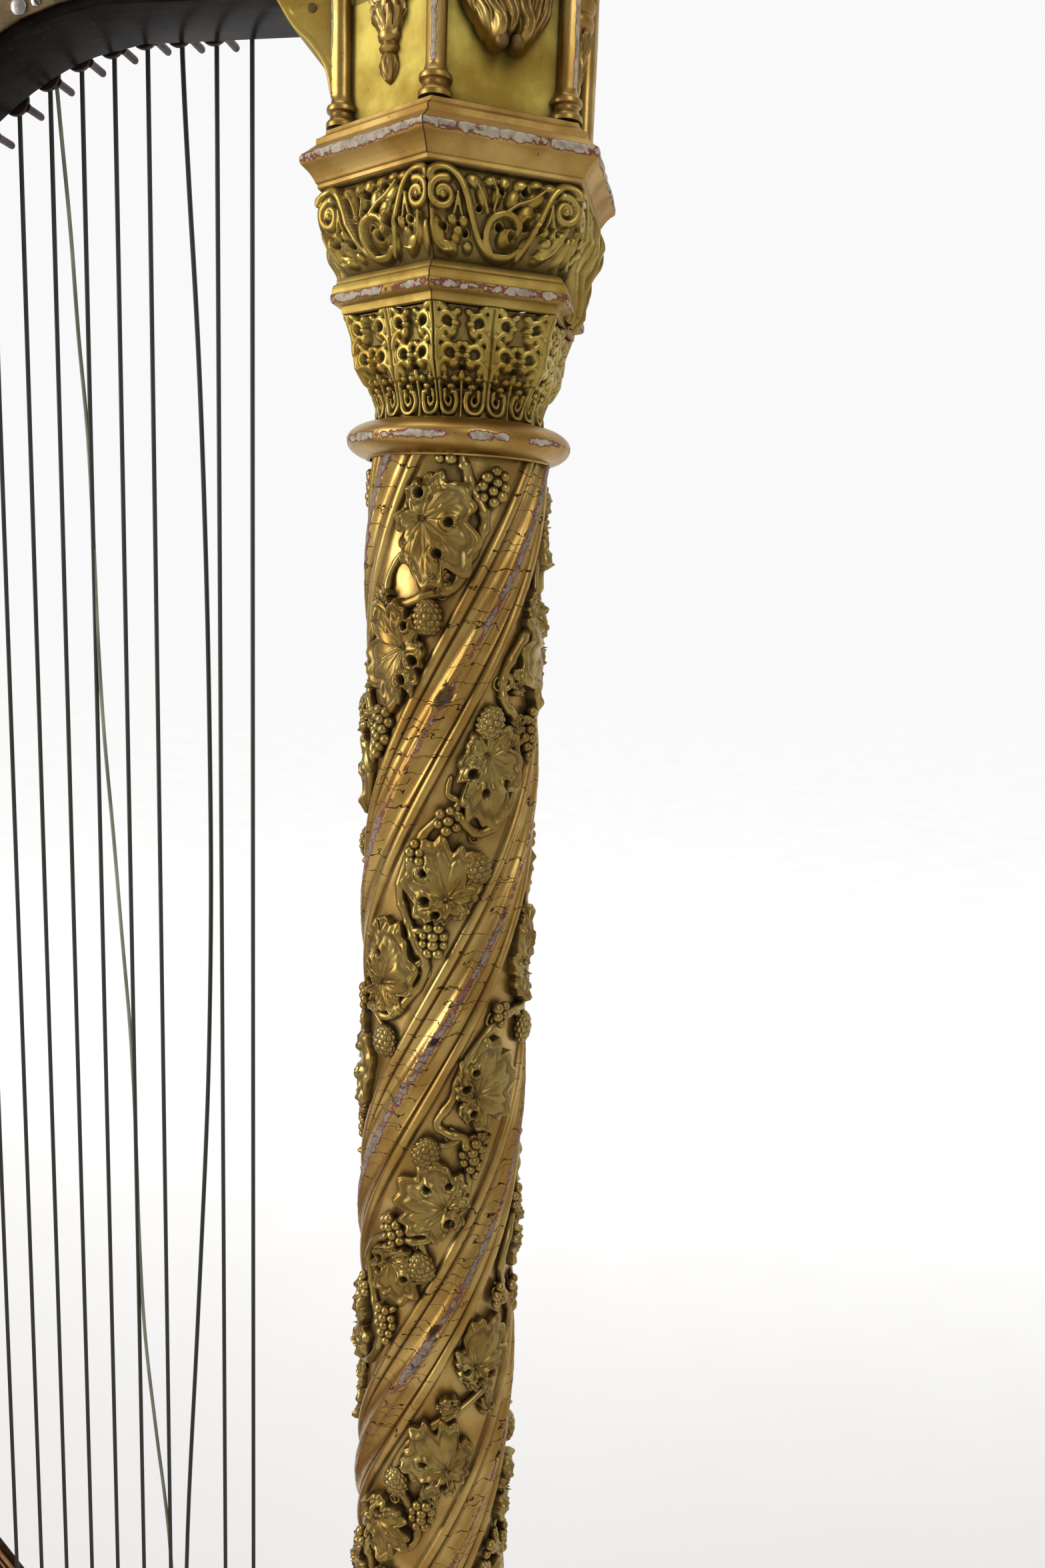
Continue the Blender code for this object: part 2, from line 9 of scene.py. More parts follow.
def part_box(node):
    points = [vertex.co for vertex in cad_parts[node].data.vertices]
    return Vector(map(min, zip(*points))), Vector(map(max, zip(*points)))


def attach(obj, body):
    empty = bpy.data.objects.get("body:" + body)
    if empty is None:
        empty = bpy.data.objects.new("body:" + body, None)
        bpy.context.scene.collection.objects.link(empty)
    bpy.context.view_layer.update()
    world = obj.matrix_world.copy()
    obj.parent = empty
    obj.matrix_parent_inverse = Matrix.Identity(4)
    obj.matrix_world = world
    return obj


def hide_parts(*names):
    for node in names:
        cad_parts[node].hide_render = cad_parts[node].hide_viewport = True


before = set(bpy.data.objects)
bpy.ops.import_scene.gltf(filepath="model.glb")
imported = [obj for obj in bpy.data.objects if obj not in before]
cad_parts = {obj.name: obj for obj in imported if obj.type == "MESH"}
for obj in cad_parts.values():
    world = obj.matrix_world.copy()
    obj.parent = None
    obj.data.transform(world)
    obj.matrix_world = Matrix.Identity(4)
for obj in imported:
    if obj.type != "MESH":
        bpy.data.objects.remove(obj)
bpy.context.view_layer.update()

# ---------------------------------------------------------------- places taken from the frame

shaft_low, shaft_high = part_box("column_shaft")
_, ring_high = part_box("capital_astragal")
RING_TOP_RISE = 0.0044
AXIS_X = (shaft_low.x + shaft_high.x) / 2
RING_Z = ring_high.z - RING_TOP_RISE
AT_RING = np.array((AXIS_X, 0.0, RING_Z))
MM = 0.001

# ---------------------------------------------------------------- camera, light and floor

CAMERA_PLACE = Vector((AXIS_X + 0.11115, -0.46358, RING_Z - 0.05355))
CAMERA_YAW, CAMERA_PITCH, CAMERA_ROLL = (math.radians(a) for a in (9.637, 10.923, -2.224))
CAMERA_LENS = 25.10


def make_camera():
    """Looks along +Y, a little towards the strings and a little down."""
    yaw, pitch, roll = CAMERA_YAW, CAMERA_PITCH, CAMERA_ROLL
    ahead = Vector((-math.sin(yaw) * math.cos(pitch), math.cos(yaw) * math.cos(pitch), -math.sin(pitch)))
    right = Vector((math.cos(yaw), math.sin(yaw), 0))
    down = ahead.cross(right)
    tilted_right = math.cos(roll) * right + math.sin(roll) * down
    tilted_down = -math.sin(roll) * right + math.cos(roll) * down
    data = bpy.data.cameras.new("view")
    data.lens = CAMERA_LENS
    data.sensor_width = 36.0
    data.clip_start, data.clip_end = 0.02, 60
    camera = bpy.data.objects.new("view", data)
    axes = Matrix((tilted_right, -tilted_down, -ahead)).transposed()
    camera.matrix_world = Matrix.Translation(CAMERA_PLACE) @ axes.to_4x4()
    bpy.context.scene.collection.objects.link(camera)
    bpy.context.scene.camera = camera


def softbox(name, place, aim, size, power):
    data = bpy.data.lights.new(name, "AREA")
    data.shape = "RECTANGLE"
    data.size, data.size_y = size
    data.energy = power
    light = bpy.data.objects.new(name, data)
    light.location = place
    light.rotation_euler = (Vector(aim) - Vector(place)).to_track_quat("-Z", "Y").to_euler()
    bpy.context.scene.collection.objects.link(light)


FLOOR_REACH = 12
FLOOR_GLOW = 0.370
FLOOR_PAINTED_SHADE = (0.40, 0.39, 0.38)
WORLD_STOPS = ((0.30, (0.38, 0.37, 0.36, 1)), (0.70, (0.95, 0.95, 0.95, 1)))
WORLD_SLANT = -0.20


def make_floor():
    """Pale, with painted shade: its colour is darker near the harp than behind it."""
    tree = Paint("floor_pale")
    grain = tree.rise(tree.noise(6, 3), 0.3, 0.7)
    behind = tree.node("ShaderNodeSeparateXYZ", {"Vector": tree.where()}).outputs["Y"]
    pale = tree.mix(grain, (0.84, 0.84, 0.84), (0.88, 0.88, 0.88))
    # The grey near the harp is a painted shadow on the floor.
    colour = tree.mix(tree.rise(behind, 0.3, 2.4), FLOOR_PAINTED_SHADE, pale)
    tree.finish(colour, 0.9, 0.0, Emission_Color=(1, 1, 1, 1), Emission_Strength=FLOOR_GLOW)
    mesh = bpy.data.meshes.new("floor")
    corners = [(x * FLOOR_REACH, y * FLOOR_REACH, 0) for x, y in ((-1, -1), (1, -1), (1, 1), (-1, 1))]
    mesh.from_pydata(corners, [], [(0, 1, 2, 3)])
    mesh.materials.append(tree.material)
    obj = bpy.data.objects.new("floor", mesh)
    bpy.context.scene.collection.objects.link(obj)


def make_world():
    """Bright behind the harp and dimmer in front of it."""
    world = bpy.data.worlds.new("studio")
    world.use_nodes = True
    bpy.context.scene.world = world
    nodes, links = world.node_tree.nodes, world.node_tree.links

    def scaled(value, factor):
        made = nodes.new("ShaderNodeMath")
        made.operation = "MULTIPLY_ADD"
        made.inputs[1].default_value = factor
        links.new(value, made.inputs[0])
        return made

    direction = nodes.new("ShaderNodeTexCoord")
    split = nodes.new("ShaderNodeSeparateXYZ")
    links.new(direction.outputs["Generated"], split.inputs[0])
    shift = scaled(split.outputs["Y"], 0.5)
    shift.inputs[2].default_value = 0.5
    slant = scaled(split.outputs["X"], WORLD_SLANT)
    links.new(shift.outputs[0], slant.inputs[2])
    ramp = nodes.new("ShaderNodeValToRGB")
    for element, (position, colour) in zip(ramp.color_ramp.elements, WORLD_STOPS):
        element.position = position
        element.color = colour
    links.new(slant.outputs[0], ramp.inputs[0])
    links.new(ramp.outputs[0], nodes["Background"].inputs[0])
    nodes["Background"].inputs[1].default_value = 1.0


def make_studio():
    make_floor()
    make_world()
    aim = (AXIS_X, 0, 1.1)
    softbox("key", (AXIS_X + 1.1, -1.5, 2.3), aim, (0.7, 1.3), 10)
    softbox("side", (AXIS_X - 1.9, -1.0, 1.6), aim, (0.7, 1.9), 32)
    softbox("high", (AXIS_X - 0.3, 0.2, 3.4), aim, (1.6, 1.6), 26)
    bpy.context.scene.view_settings.view_transform = "Standard"


# ---------------------------------------------------------------- materials


class Paint:
    """One procedural material, built node by node."""

    def __init__(self, name):
        self.material = bpy.data.materials.new(name)
        self.material.use_nodes = True
        self.nodes = self.material.node_tree.nodes
        self.links = self.material.node_tree.links
        self.shader = self.nodes["Principled BSDF"]
        self.place = None

    def node(self, kind, inputs=(), **settings):
        made = self.nodes.new(kind)
        for key, value in settings.items():
            setattr(made, key, value)
        for key, value in dict(inputs).items():
            if isinstance(value, bpy.types.NodeSocket):
                self.links.new(value, made.inputs[key])
            else:
                made.inputs[key].default_value = value
        return made

    def where(self, stretch=(1, 1, 1)):
        """The piece's own coordinates in metres, stretched along each axis."""
        if self.place is None:
            self.place = self.node("ShaderNodeTexCoord").outputs["Object"]
        if stretch == (1, 1, 1):
            return self.place
        return self.node("ShaderNodeMapping", {"Vector": self.place, "Scale": stretch}).outputs[0]

    def noise(self, scale, detail=4.0, stretch=(1, 1, 1), distortion=0.0, roughness=0.55):
        values = {"Vector": self.where(stretch), "Scale": scale, "Detail": detail,
                  "Distortion": distortion, "Roughness": roughness}
        return self.node("ShaderNodeTexNoise", values).outputs["Fac"]

    def value(self, name):
        return self.node("ShaderNodeAttribute", attribute_name=name).outputs["Fac"]

    def math(self, operation, a, b=0.0, c=0.0, clamp=False):
        values = {0: a, 1: b}
        if operation in ("MULTIPLY_ADD", "COMPARE", "SMOOTH_MIN", "SMOOTH_MAX"):
            values[2] = c
        return self.node("ShaderNodeMath", values, operation=operation, use_clamp=clamp).outputs[0]

    def rise(self, value, start, end, low=0.0, high=1.0):
        """A smooth step from low to high as the value goes from start to end."""
        values = {"Value": value, "From Min": start, "From Max": end, "To Min": low, "To Max": high}
        return self.node("ShaderNodeMapRange", values, interpolation_type="SMOOTHSTEP").outputs[0]

    def mix(self, share, a, b, blend="MIX"):
        made = self.node("ShaderNodeMix", data_type="RGBA", blend_type=blend)
        for index, value in ((0, share), (6, a), (7, b)):
            if isinstance(value, bpy.types.NodeSocket):
                self.links.new(value, made.inputs[index])
            else:
                made.inputs[index].default_value = value if index == 0 else (*value, 1)
        return made.outputs[2]

    def occlusion(self, distance):
        values = {"Distance": distance}
        return self.node("ShaderNodeAmbientOcclusion", values, samples=6).outputs["AO"]

    def bump(self, height, distance, strength=1.0):
        values = {"Height": height, "Distance": distance, "Strength": strength}
        return self.node("ShaderNodeBump", values).outputs[0]

    def finish(self, colour=None, roughness=None, metallic=None, normal=None, **fixed):
        for key, value in (("Base Color", colour), ("Roughness", roughness), ("Metallic", metallic),
                           ("Normal", normal)):
            if isinstance(value, bpy.types.NodeSocket):
                self.links.new(value, self.shader.inputs[key])
            elif value is not None:
                self.shader.inputs[key].default_value = (*value, 1) if key == "Base Color" else value
        for key, value in fixed.items():
            self.shader.inputs[key.replace("_", " ")].default_value = value
        return self.material


WARM_GOLD = (0.49, 0.328, 0.104)
GREEN_GOLD = (0.42, 0.352, 0.072)
OLIVE_GOLD = (0.36, 0.262, 0.082)
BOLE = (0.14, 0.024, 0.015)
GESSO = (0.44, 0.365, 0.265)
# A dark brown for grime and specks, also used for painted shade in hollows.
GRIME_AND_SHADE = (0.030, 0.017, 0.007)
WORN_TO_GESSO = (BOLE, GESSO)
WORN_TO_BROWN = ((0.11, 0.065, 0.025), (0.085, 0.065, 0.045))
WORN_TO_DARK_GESSO = ((0.15, 0.022, 0.015), (0.235, 0.185, 0.135))


def gilding(name, other=OLIVE_GOLD, under=WORN_TO_GESSO, cracked=False, matt=0.0, dust=0.0):
    """Leaf gold over two grounds. "wear" bares the first ground and then the second, "grime" and every hollow
    darken it with grime and painted shade, and "tone" turns it from warm gold to the other gold."""
    bole, gesso = under
    p = Paint(name)
    patches = p.noise(38, 5)
    flakes = p.noise(260, 7, distortion=0.8, roughness=0.62)
    brushed = p.noise(900, 4)
    wear = p.value("wear")
    worn = p.math("MULTIPLY_ADD", p.math("SUBTRACT", flakes, 0.5), 1.0, wear)
    worn = p.math("MULTIPLY_ADD", p.math("SUBTRACT", patches, 0.5), 0.8, worn)
    to_bole = p.rise(worn, 0.42, 0.50)
    to_gesso = p.rise(worn, 0.56, 0.63)
    # Ambient occlusion darkens every hollow in the colour: painted shade.
    hollow = p.rise(p.occlusion(0.008), 0.84, 0.26)
    dirt_and_shade = p.math("MAXIMUM", p.value("grime"), hollow)
    if dust:
        dirt_and_shade = p.math("MULTIPLY_ADD", p.rise(p.noise(85, 5), 0.40, 0.68), dust, dirt_and_shade)
    dirt_and_shade = p.math("MULTIPLY", dirt_and_shade, p.rise(p.noise(300, 3), 0.15, 0.6, 0.65, 1.0), clamp=True)
    leaf = p.mix(p.value("tone"), WARM_GOLD, other)
    shade = p.mix(p.rise(patches, 0.35, 0.68), (0.66, 0.56, 0.42), (1, 1, 1))
    leaf = p.mix(1.0, leaf, shade, "MULTIPLY")
    speck = p.rise(p.noise(650, 5), 0.66, 0.74, 0.0, 0.55)
    leaf = p.mix(speck, leaf, GRIME_AND_SHADE)
    base = p.mix(p.math("MULTIPLY", to_bole, 0.92), leaf, bole)
    grey = p.mix(p.rise(flakes, 0.35, 0.62), tuple(0.50 * c for c in gesso), gesso)
    base = p.mix(to_gesso, base, grey)
    base = p.mix(p.math("MULTIPLY", dirt_and_shade, 0.88), base, GRIME_AND_SHADE)
    height = p.math("MULTIPLY_ADD", brushed, 0.10, p.math("MULTIPLY", p.noise(120, 3), 0.5))
    height = p.math("MULTIPLY_ADD", to_gesso, -0.35, height)
    if cracked:
        crack = rib_cracks(p)
        base = p.mix(crack, base, GRIME_AND_SHADE)
        height = p.math("MULTIPLY_ADD", crack, -1.4, height)
    metal = p.math("SUBTRACT", 1.0, to_bole)
    metal = p.math("MULTIPLY_ADD", dirt_and_shade, -0.45, metal, clamp=True)
    rough = p.rise(patches, 0.3, 0.7, 0.42 + matt, 0.30 + matt)
    rough = p.math("MULTIPLY_ADD", to_bole, 0.30, rough)
    rough = p.math("MULTIPLY_ADD", dirt_and_shade, 0.25, rough)
    return p.finish(base, rough, metal, p.bump(height, 0.0006, 0.55))


def rib_cracks(p):
    """Hairlines across the ribs, at uneven steps along them, some short and some long."""
    rib = p.node("ShaderNodeAttribute", attribute_name="rib").outputs["Vector"]
    parts = p.node("ShaderNodeSeparateXYZ", {0: rib})
    across, along = parts.outputs[0], parts.outputs[1]
    wander = p.node("ShaderNodeTexNoise", {"Vector": rib, "Scale": 0.16, "Detail": 3.0}).outputs["Fac"]
    total = None
    for step, seed, reach in ((12.5, 3.0, 9.0), (8.7, 41.0, 19.0)):
        steps = p.math("DIVIDE", along, step)
        cell = p.math("MULTIPLY_ADD", wander, 1.3, p.math("ADD", steps, seed))
        chance = p.node("ShaderNodeTexWhiteNoise", {"W": p.math("FLOOR", cell)}, noise_dimensions="1D")
        middle = p.math("ABSOLUTE", p.math("SUBTRACT", p.math("FRACT", cell), 0.5))
        line = p.rise(middle, 0.030, 0.012)
        shift = p.math("MULTIPLY", p.math("SUBTRACT", chance.outputs["Value"], 0.5), 16.0)
        span = p.math("ABSOLUTE", p.math("SUBTRACT", across, shift))
        short = p.math("LESS_THAN", span, reach * 0.6)
        shown = p.math("MULTIPLY", line, short)
        total = shown if total is None else p.math("MAXIMUM", total, shown)
    return p.math("MULTIPLY", total, p.rise(p.math("ABSOLUTE", across), 17.5, 15.5))


# ---------------------------------------------------------------- mesh kit


class Clay:
    """One piece gathered from several shapes, with its wear, its grime and painted shade, and its tone at
    every vertex.
    """

    # grime darkens hollows, grooves, gaps and the undersides of parts: grime, and painted shade where shade
    # falls.
    KINDS = ("wear", "grime", "tone")

    def __init__(self):
        self.points, self.faces, self.count = [], [], 0
        self.values = {kind: [] for kind in self.KINDS}
        self.rib = []

    def add(self, points, faces, rib=None, **values):
        points = np.asarray(points, float)
        self.points.append(points)
        self.faces += [tuple(int(n) + self.count for n in face) for face in faces]
        for kind in self.KINDS:
            self.values[kind].append(np.broadcast_to(values.get(kind, 0.0), len(points)))
        self.rib.append(np.zeros((len(points), 3)) if rib is None else rib)
        self.count += len(points)
        return self

    def mesh(self, name, outward=False):
        mesh = bpy.data.meshes.new(name)
        mesh.from_pydata(np.concatenate(self.points).tolist(), [], self.faces)
        if outward:
            work = bmesh.new()
            work.from_mesh(mesh)
            bmesh.ops.recalc_face_normals(work, faces=work.faces)
            work.to_mesh(mesh)
            work.free()
        return mesh

    def piece(self, name, material, slot, replaces=(), body="harp", sharp=40.0, ribbed=False, outward=False):
        mesh = self.mesh(name, outward)
        for kind in self.KINDS:
            layer = mesh.attributes.new(kind, "FLOAT", "POINT")
            layer.data.foreach_set("value", np.concatenate(self.values[kind]).astype(np.float32))
        if ribbed:
            layer = mesh.attributes.new("rib", "FLOAT_VECTOR", "POINT")
            layer.data.foreach_set("vector", np.concatenate(self.rib).astype(np.float32).ravel())
        mesh.materials.append(material)
        mesh.shade_smooth()
        if sharp:
            mesh.set_sharp_from_angle(angle=math.radians(sharp))
        obj = bpy.data.objects.new(name, mesh)
        bpy.context.scene.collection.objects.link(obj)
        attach(obj, body)
        if replaces:
            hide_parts(*replaces)
        return obj

    def tool(self, name):
        """A shape that only cuts another and isn't part of the harp."""
        obj = bpy.data.objects.new(name, self.mesh(name, outward=True))
        bpy.context.scene.collection.objects.link(obj)
        return obj


def grid_faces(rows, columns, closed=False):
    """Quads over a grid of points; a closed grid joins its last column to its first."""
    wide = columns if closed else columns - 1
    r, c = np.meshgrid(np.arange(rows - 1), np.arange(wide), indexing="ij")
    n = (c + 1) % columns
    quads = np.stack([r * columns + c, r * columns + n, (r + 1) * columns + n, (r + 1) * columns + c], -1)
    return quads.reshape(-1, 4)


def capped_faces(rows, columns):
    """A closed grid's quads, and a face over each of its two ends."""
    last = (rows - 1) * columns
    quads = [tuple(face) for face in grid_faces(rows, columns, closed=True)]
    return [*quads, tuple(range(columns)), tuple(range(last, last + columns))]


def flowing(points, steps):
    """A smooth curve through the points, with this many steps between each pair."""
    spots = np.asarray(points, float)
    spots = np.vstack((2 * spots[0] - spots[1], spots, 2 * spots[-1] - spots[-2]))
    t = (np.arange(steps) / steps)[:, None]
    path = []
    for a, b, c, d in zip(spots, spots[1:], spots[2:], spots[3:]):
        path.append(0.5 * (2 * b + (c - a) * t + (2 * a - 5 * b + 4 * c - d) * t**2
                           + (3 * b - a - 3 * c + d) * t**3))
    return np.vstack((*path, spots[-2]))


def tube(path, radius, sides=8, closed_ends=True):
    """A round bar along a path of points; the radius may change from point to point."""
    path = np.asarray(path, float)
    radius = np.broadcast_to(radius, len(path))
    ahead = np.gradient(path, axis=0)
    ahead /= np.linalg.norm(ahead, axis=1)[:, None] + 1e-12
    side = np.cross(ahead[0], (0.0, 0.0, 1.0))
    if np.linalg.norm(side) < 1e-3:
        side = np.cross(ahead[0], (1.0, 0.0, 0.0))
    turns = np.arange(sides) * 2 * math.pi / sides
    points = []
    for spot, way, r in zip(path, ahead, radius):
        side = side - way * (side @ way)
        side /= np.linalg.norm(side)
        up = np.cross(way, side)
        points.append(spot + r * (np.outer(np.cos(turns), side) + np.outer(np.sin(turns), up)))
    points = np.concatenate(points)
    faces = [tuple(f) for f in grid_faces(len(path), sides, closed=True)]
    if closed_ends:
        faces.append(tuple(range(sides))[::-1])
        faces.append(tuple(range(len(points) - sides, len(points))))
    return points, faces


def ball(radius, rows=8, columns=12):
    """A round berry about the origin, its rows running from pole to pole."""
    down = np.linspace(0, math.pi, rows)[:, None]
    turn = np.arange(columns) * 2 * math.pi / columns
    axes = np.broadcast_arrays(np.sin(down) * np.cos(turn), np.sin(down) * np.sin(turn), np.cos(down))
    # Adding 0.0 makes every zero at the pole a positive one, so all its points have the same angle.
    points = np.stack(axes, -1).reshape(-1, 3) * radius + 0.0
    return points, grid_faces(rows, columns, closed=True)


def wobble(count, seed, knots):
    """Smooth noise from 0 to 1 at evenly spaced places, the same at each run."""
    spots = np.random.default_rng(seed).random(knots)
    spots[-1] = spots[0]
    return np.interp(np.linspace(0, knots - 1, count), np.arange(knots), spots)


def at_ring(points):
    """From millimetres about the column's axis at the ring to metres in the frame."""
    return np.asarray(points, float) * MM + AT_RING


def polar(radius, degrees, height):
    angle = np.radians(degrees)
    return np.stack(np.broadcast_arrays(radius * np.cos(angle), radius * np.sin(angle), height), -1)


def facing(face, out, across, height):
    """Places seen by someone who faces a side of the column: out towards them, across and up."""
    c, s = math.cos(math.radians(face)), math.sin(math.radians(face))
    return np.stack(np.broadcast_arrays(out * c - across * s, out * s + across * c, height), -1)


def ringed(shape):
    points, faces = shape
    return at_ring(points), faces


def from_axis(points):
    """From metres about the column's axis to metres in the frame."""
    return np.asarray(points, float) + (AXIS_X, 0, 0)


def shifted(shape):
    points, faces = shape
    return from_axis(points), faces


# ---------------------------------------------------------------- the twisted shaft

TWIST = 0.82
CREST_AT_RING = 4.0
RIB_PERIOD = 120.0
RIB_LEAN = math.radians(29.0)
ARC_RADIUS = 37.5
# Where an arris is knocked out: which rib, the height, and how far the loss reaches.
KNOCKED_OUT = ((0, -104.0, 4.2), (1, -252.0, 1.8), (2, -391.0, 3.2), (0, -470.0, 2.6))
SHAFT_TOP = -9.6
SHAFT_FOOT = (shaft_low.z - RING_Z) / MM + 0.2


def shaft_radius(degrees):
    """The shaft's section at an angle from the nearest crest: a flat arris, a cove and a bead on
    each side of it, then a wide shallow channel."""
    away = np.abs((np.asarray(degrees, float) + RIB_PERIOD / 2) % RIB_PERIOD - RIB_PERIOD / 2)
    arc = np.radians(away) * ARC_RADIUS
    stops = ((0.0, 39.0), (2.1, 38.75), (2.9, 38.2), (4.2, 37.0), (6.0, 36.25), (8.0, 36.2), (9.4, 36.75),
             (9.8, 35.7), (10.1, 35.6), (15.9, 35.1), (16.3, 34.5), (17.2, 34.75), (22.0, 34.0),
             (30.0, 33.4), (40.0, 33.3))
    radius = np.interp(arc, [s[0] for s in stops], [s[1] for s in stops])
    bead = 35.0 + 2.45 * np.sqrt(np.clip(1 - ((arc - 13.0) / 2.95) ** 2, 0, 1))
    return np.where(np.abs(arc - 13.0) < 2.95, np.maximum(radius, bead), radius)


def crest_angle(height):
    return CREST_AT_RING + TWIST * height


def make_shaft(material):
    """Three ribs that climb to the right; the grid's lines run along them."""
    arcs = np.concatenate((np.arange(0, 3.2, 0.45), np.arange(3.4, 9.6, 0.62), np.arange(9.7, 16.6, 0.38),
                           np.arange(17.2, 38.5, 1.9)))
    half = np.degrees(arcs / ARC_RADIUS)
    period = np.concatenate((half, RIB_PERIOD - half[:0:-1]))
    across = np.concatenate([period + RIB_PERIOD * k for k in range(3)])
    heights = np.append(np.arange(SHAFT_TOP, SHAFT_FOOT, -1.6), SHAFT_FOOT)
    angle, height = np.meshgrid(across, heights)
    radius = shaft_radius(angle)
    off = np.radians((angle + RIB_PERIOD / 2) % RIB_PERIOD - RIB_PERIOD / 2) * ARC_RADIUS
    crest = np.abs(off)
    along = -height / math.cos(RIB_LEAN) + 400 * np.floor((angle + RIB_PERIOD / 2) / RIB_PERIOD)
    dents = np.sin(along * 0.31) * np.sin(along * 0.113 + 1.3) + 0.5 * np.sin(along * 0.83)
    radius -= np.where(crest < 3.0, 0.16 * (1 + dents) * (1 - crest / 3.0), 0)
    hole = np.zeros_like(radius)
    for spot, place, reach in KNOCKED_OUT:
        level = np.abs(height - place)
        side = np.abs(np.radians((angle - RIB_PERIOD * spot + 180) % 360 - 180) * ARC_RADIUS)
        chip = np.clip(1.15 - np.hypot(level, side * 1.2) / reach, 0, 1)
        hole = np.maximum(hole, np.minimum(chip * 3, 1))
    radius -= 2.4 * hole
    points = polar(radius, crest_angle(height) + angle, height).reshape(-1, 3)
    rib = np.stack((off, along, np.zeros_like(along)), -1)
    wear = np.interp(crest, (0, 1.1, 1.9, 2.8, 3.8, 12.0, 13.0, 14.0, 17.0),
                     (0.70, 0.66, 0.47, 0.36, 0.05, 0.02, 0.14, 0.02, 0.0))
    rubbing = np.sin(along * 0.017 + 1.0) + 0.6 * np.sin(along * 0.041 + 0.4) + 0.4 * np.sin(along * 0.11)
    wear = wear * np.clip(0.90 + 0.22 * rubbing, 0.35, 1.15)
    # Painted shade in the grooves either side of the bead, and grime with painted shade in the knocked-out
    # holes.
    grime = np.interp(crest, (9.0, 9.9, 10.6, 15.6, 16.2, 17.2), (0.0, 0.8, 0.0, 0.0, 0.75, 0.0))
    grime = np.maximum(grime, 0.9 * hole)
    faces = grid_faces(len(heights), len(across), closed=True)
    clay = Clay().add(at_ring(points), faces, rib=rib.reshape(-1, 3), wear=wear.ravel(),
                      grime=grime.ravel())
    clay.piece("shaft_carved", material, "gilding", ["column_shaft"], ribbed=True, sharp=50)


# ---------------------------------------------------------------- mouldings


def eased(profile):
    """A profile of (radius, height, wear) with rounded turns: every point is given neighbours."""
    stops = np.asarray(profile, float)
    out = [stops[0]]
    for before, here, after in zip(stops, stops[1:], stops[2:]):
        entry = here + (before - here) * 0.28
        leave = here + (after - here) * 0.28
        for t in (0, 0.5, 1):
            out.append((1 - t) ** 2 * entry + 2 * t * (1 - t) * here + t**2 * leave)
    out.append(stops[-1])
    return np.array(out)


def hexagon_ring(radius, per_side):
    """Corners at 30, 90 and 150 degrees either side of the front, each side split evenly."""
    corners = polar(1.0, 30 + 60 * np.arange(7), 0)[:, :2]
    share = (np.arange(per_side) / per_side)[:, None]
    return radius * np.concatenate([a + (b - a) * share for a, b in zip(corners, corners[1:])])


def hexagon_moulding(clay, profile, per_side=40, chips=0.0, seed=1, tone=0.0, soft=True):
    """A hexagonal run of a (radius, height, wear) profile in millimetres; worn edges are chipped."""
    stops = eased(profile) if soft else np.asarray(profile, float)
    count = 6 * per_side
    rough = wobble(count, seed, 97)
    finer = wobble(count, seed + 1, 241)
    rows, wears = [], []
    for radius, height, wear in stops:
        ring = hexagon_ring(1.0, per_side)
        loss = chips * max(wear - 0.3, 0) * (np.clip(rough - 0.45, 0, 1) * 1.6 + 0.35 * finer)
        reach = radius - loss
        rows.append(np.column_stack((ring * reach[:, None], np.full(count, height))))
        wears.append(wear * (0.72 + 0.5 * rough))
    tones = np.broadcast_to(tone, (len(stops), count)).ravel()
    clay.add(at_ring(np.concatenate(rows)), grid_faces(len(rows), count, closed=True)[:, ::-1],
             wear=np.concatenate(wears), tone=tones)
    return clay


def round_moulding(clay, profile, columns=144, chips=0.0, seed=1):
    """A round run of a (radius, height, wear) profile in millimetres."""
    rough = wobble(columns, seed, 61)
    finer = wobble(columns, seed + 1, 143)
    turn = 360 * np.arange(columns) / columns
    rows, wears = [], []
    for radius, height, wear in profile:
        loss = chips * max(wear - 0.3, 0) * (np.clip(rough - 0.4, 0, 1) * 1.6 + 0.35 * finer)
        rows.append(polar(radius - loss, turn, height))
        wears.append(wear * (0.62 + 0.7 * rough))
    clay.add(at_ring(np.concatenate(rows)), grid_faces(len(rows), columns, closed=True)[:, ::-1],
             wear=np.concatenate(wears))
    return clay


def make_ring(material):
    profile = [(37.0, -10.0, 0), (38.6, -9.9, 0)]
    for a in np.radians(np.linspace(-90, 90, 25)):
        worn = 0.74 * max(math.cos(a + math.radians(4)), 0) ** 16
        profile.append((39.0 + 7.6 * max(math.cos(a), 0) ** 1.5, -2.75 + 6.6 * math.sin(a), worn))
    profile += [(37.5, 4.3, 0), (36.2, 4.6, 0)]
    clay = round_moulding(Clay(), profile, columns=220, chips=0.9, seed=11)
    clay.piece("ring_worn", material, "gilding", ["capital_astragal"])


def make_lower_moulding(material):
    profile = ((47.5, 43.6, 0), (49.7, 43.7, 0.1), (49.8, 46.7, 0.12), (52.2, 46.9, 0.1), (53.9, 47.6, 0.55),
               (54.4, 48.9, 0.72), (54.2, 50.4, 0.55), (53.6, 50.9, 0), (53.7, 52.2, 0.06), (53.0, 54.1, 0.1),
               (51.9, 54.5, 0), (51.6, 55.6, 0.04), (50.4, 57.0, 0.08), (49.2, 57.3, 0), (47.5, 58.2, 0))
    clay = hexagon_moulding(Clay(), profile, chips=0.9, seed=21, tone=0.35)
    open_mitre(clay, profile)
    clay.piece("lower_moulding_worn", material, "gilding", ["capital_lower_moulding"], sharp=32)


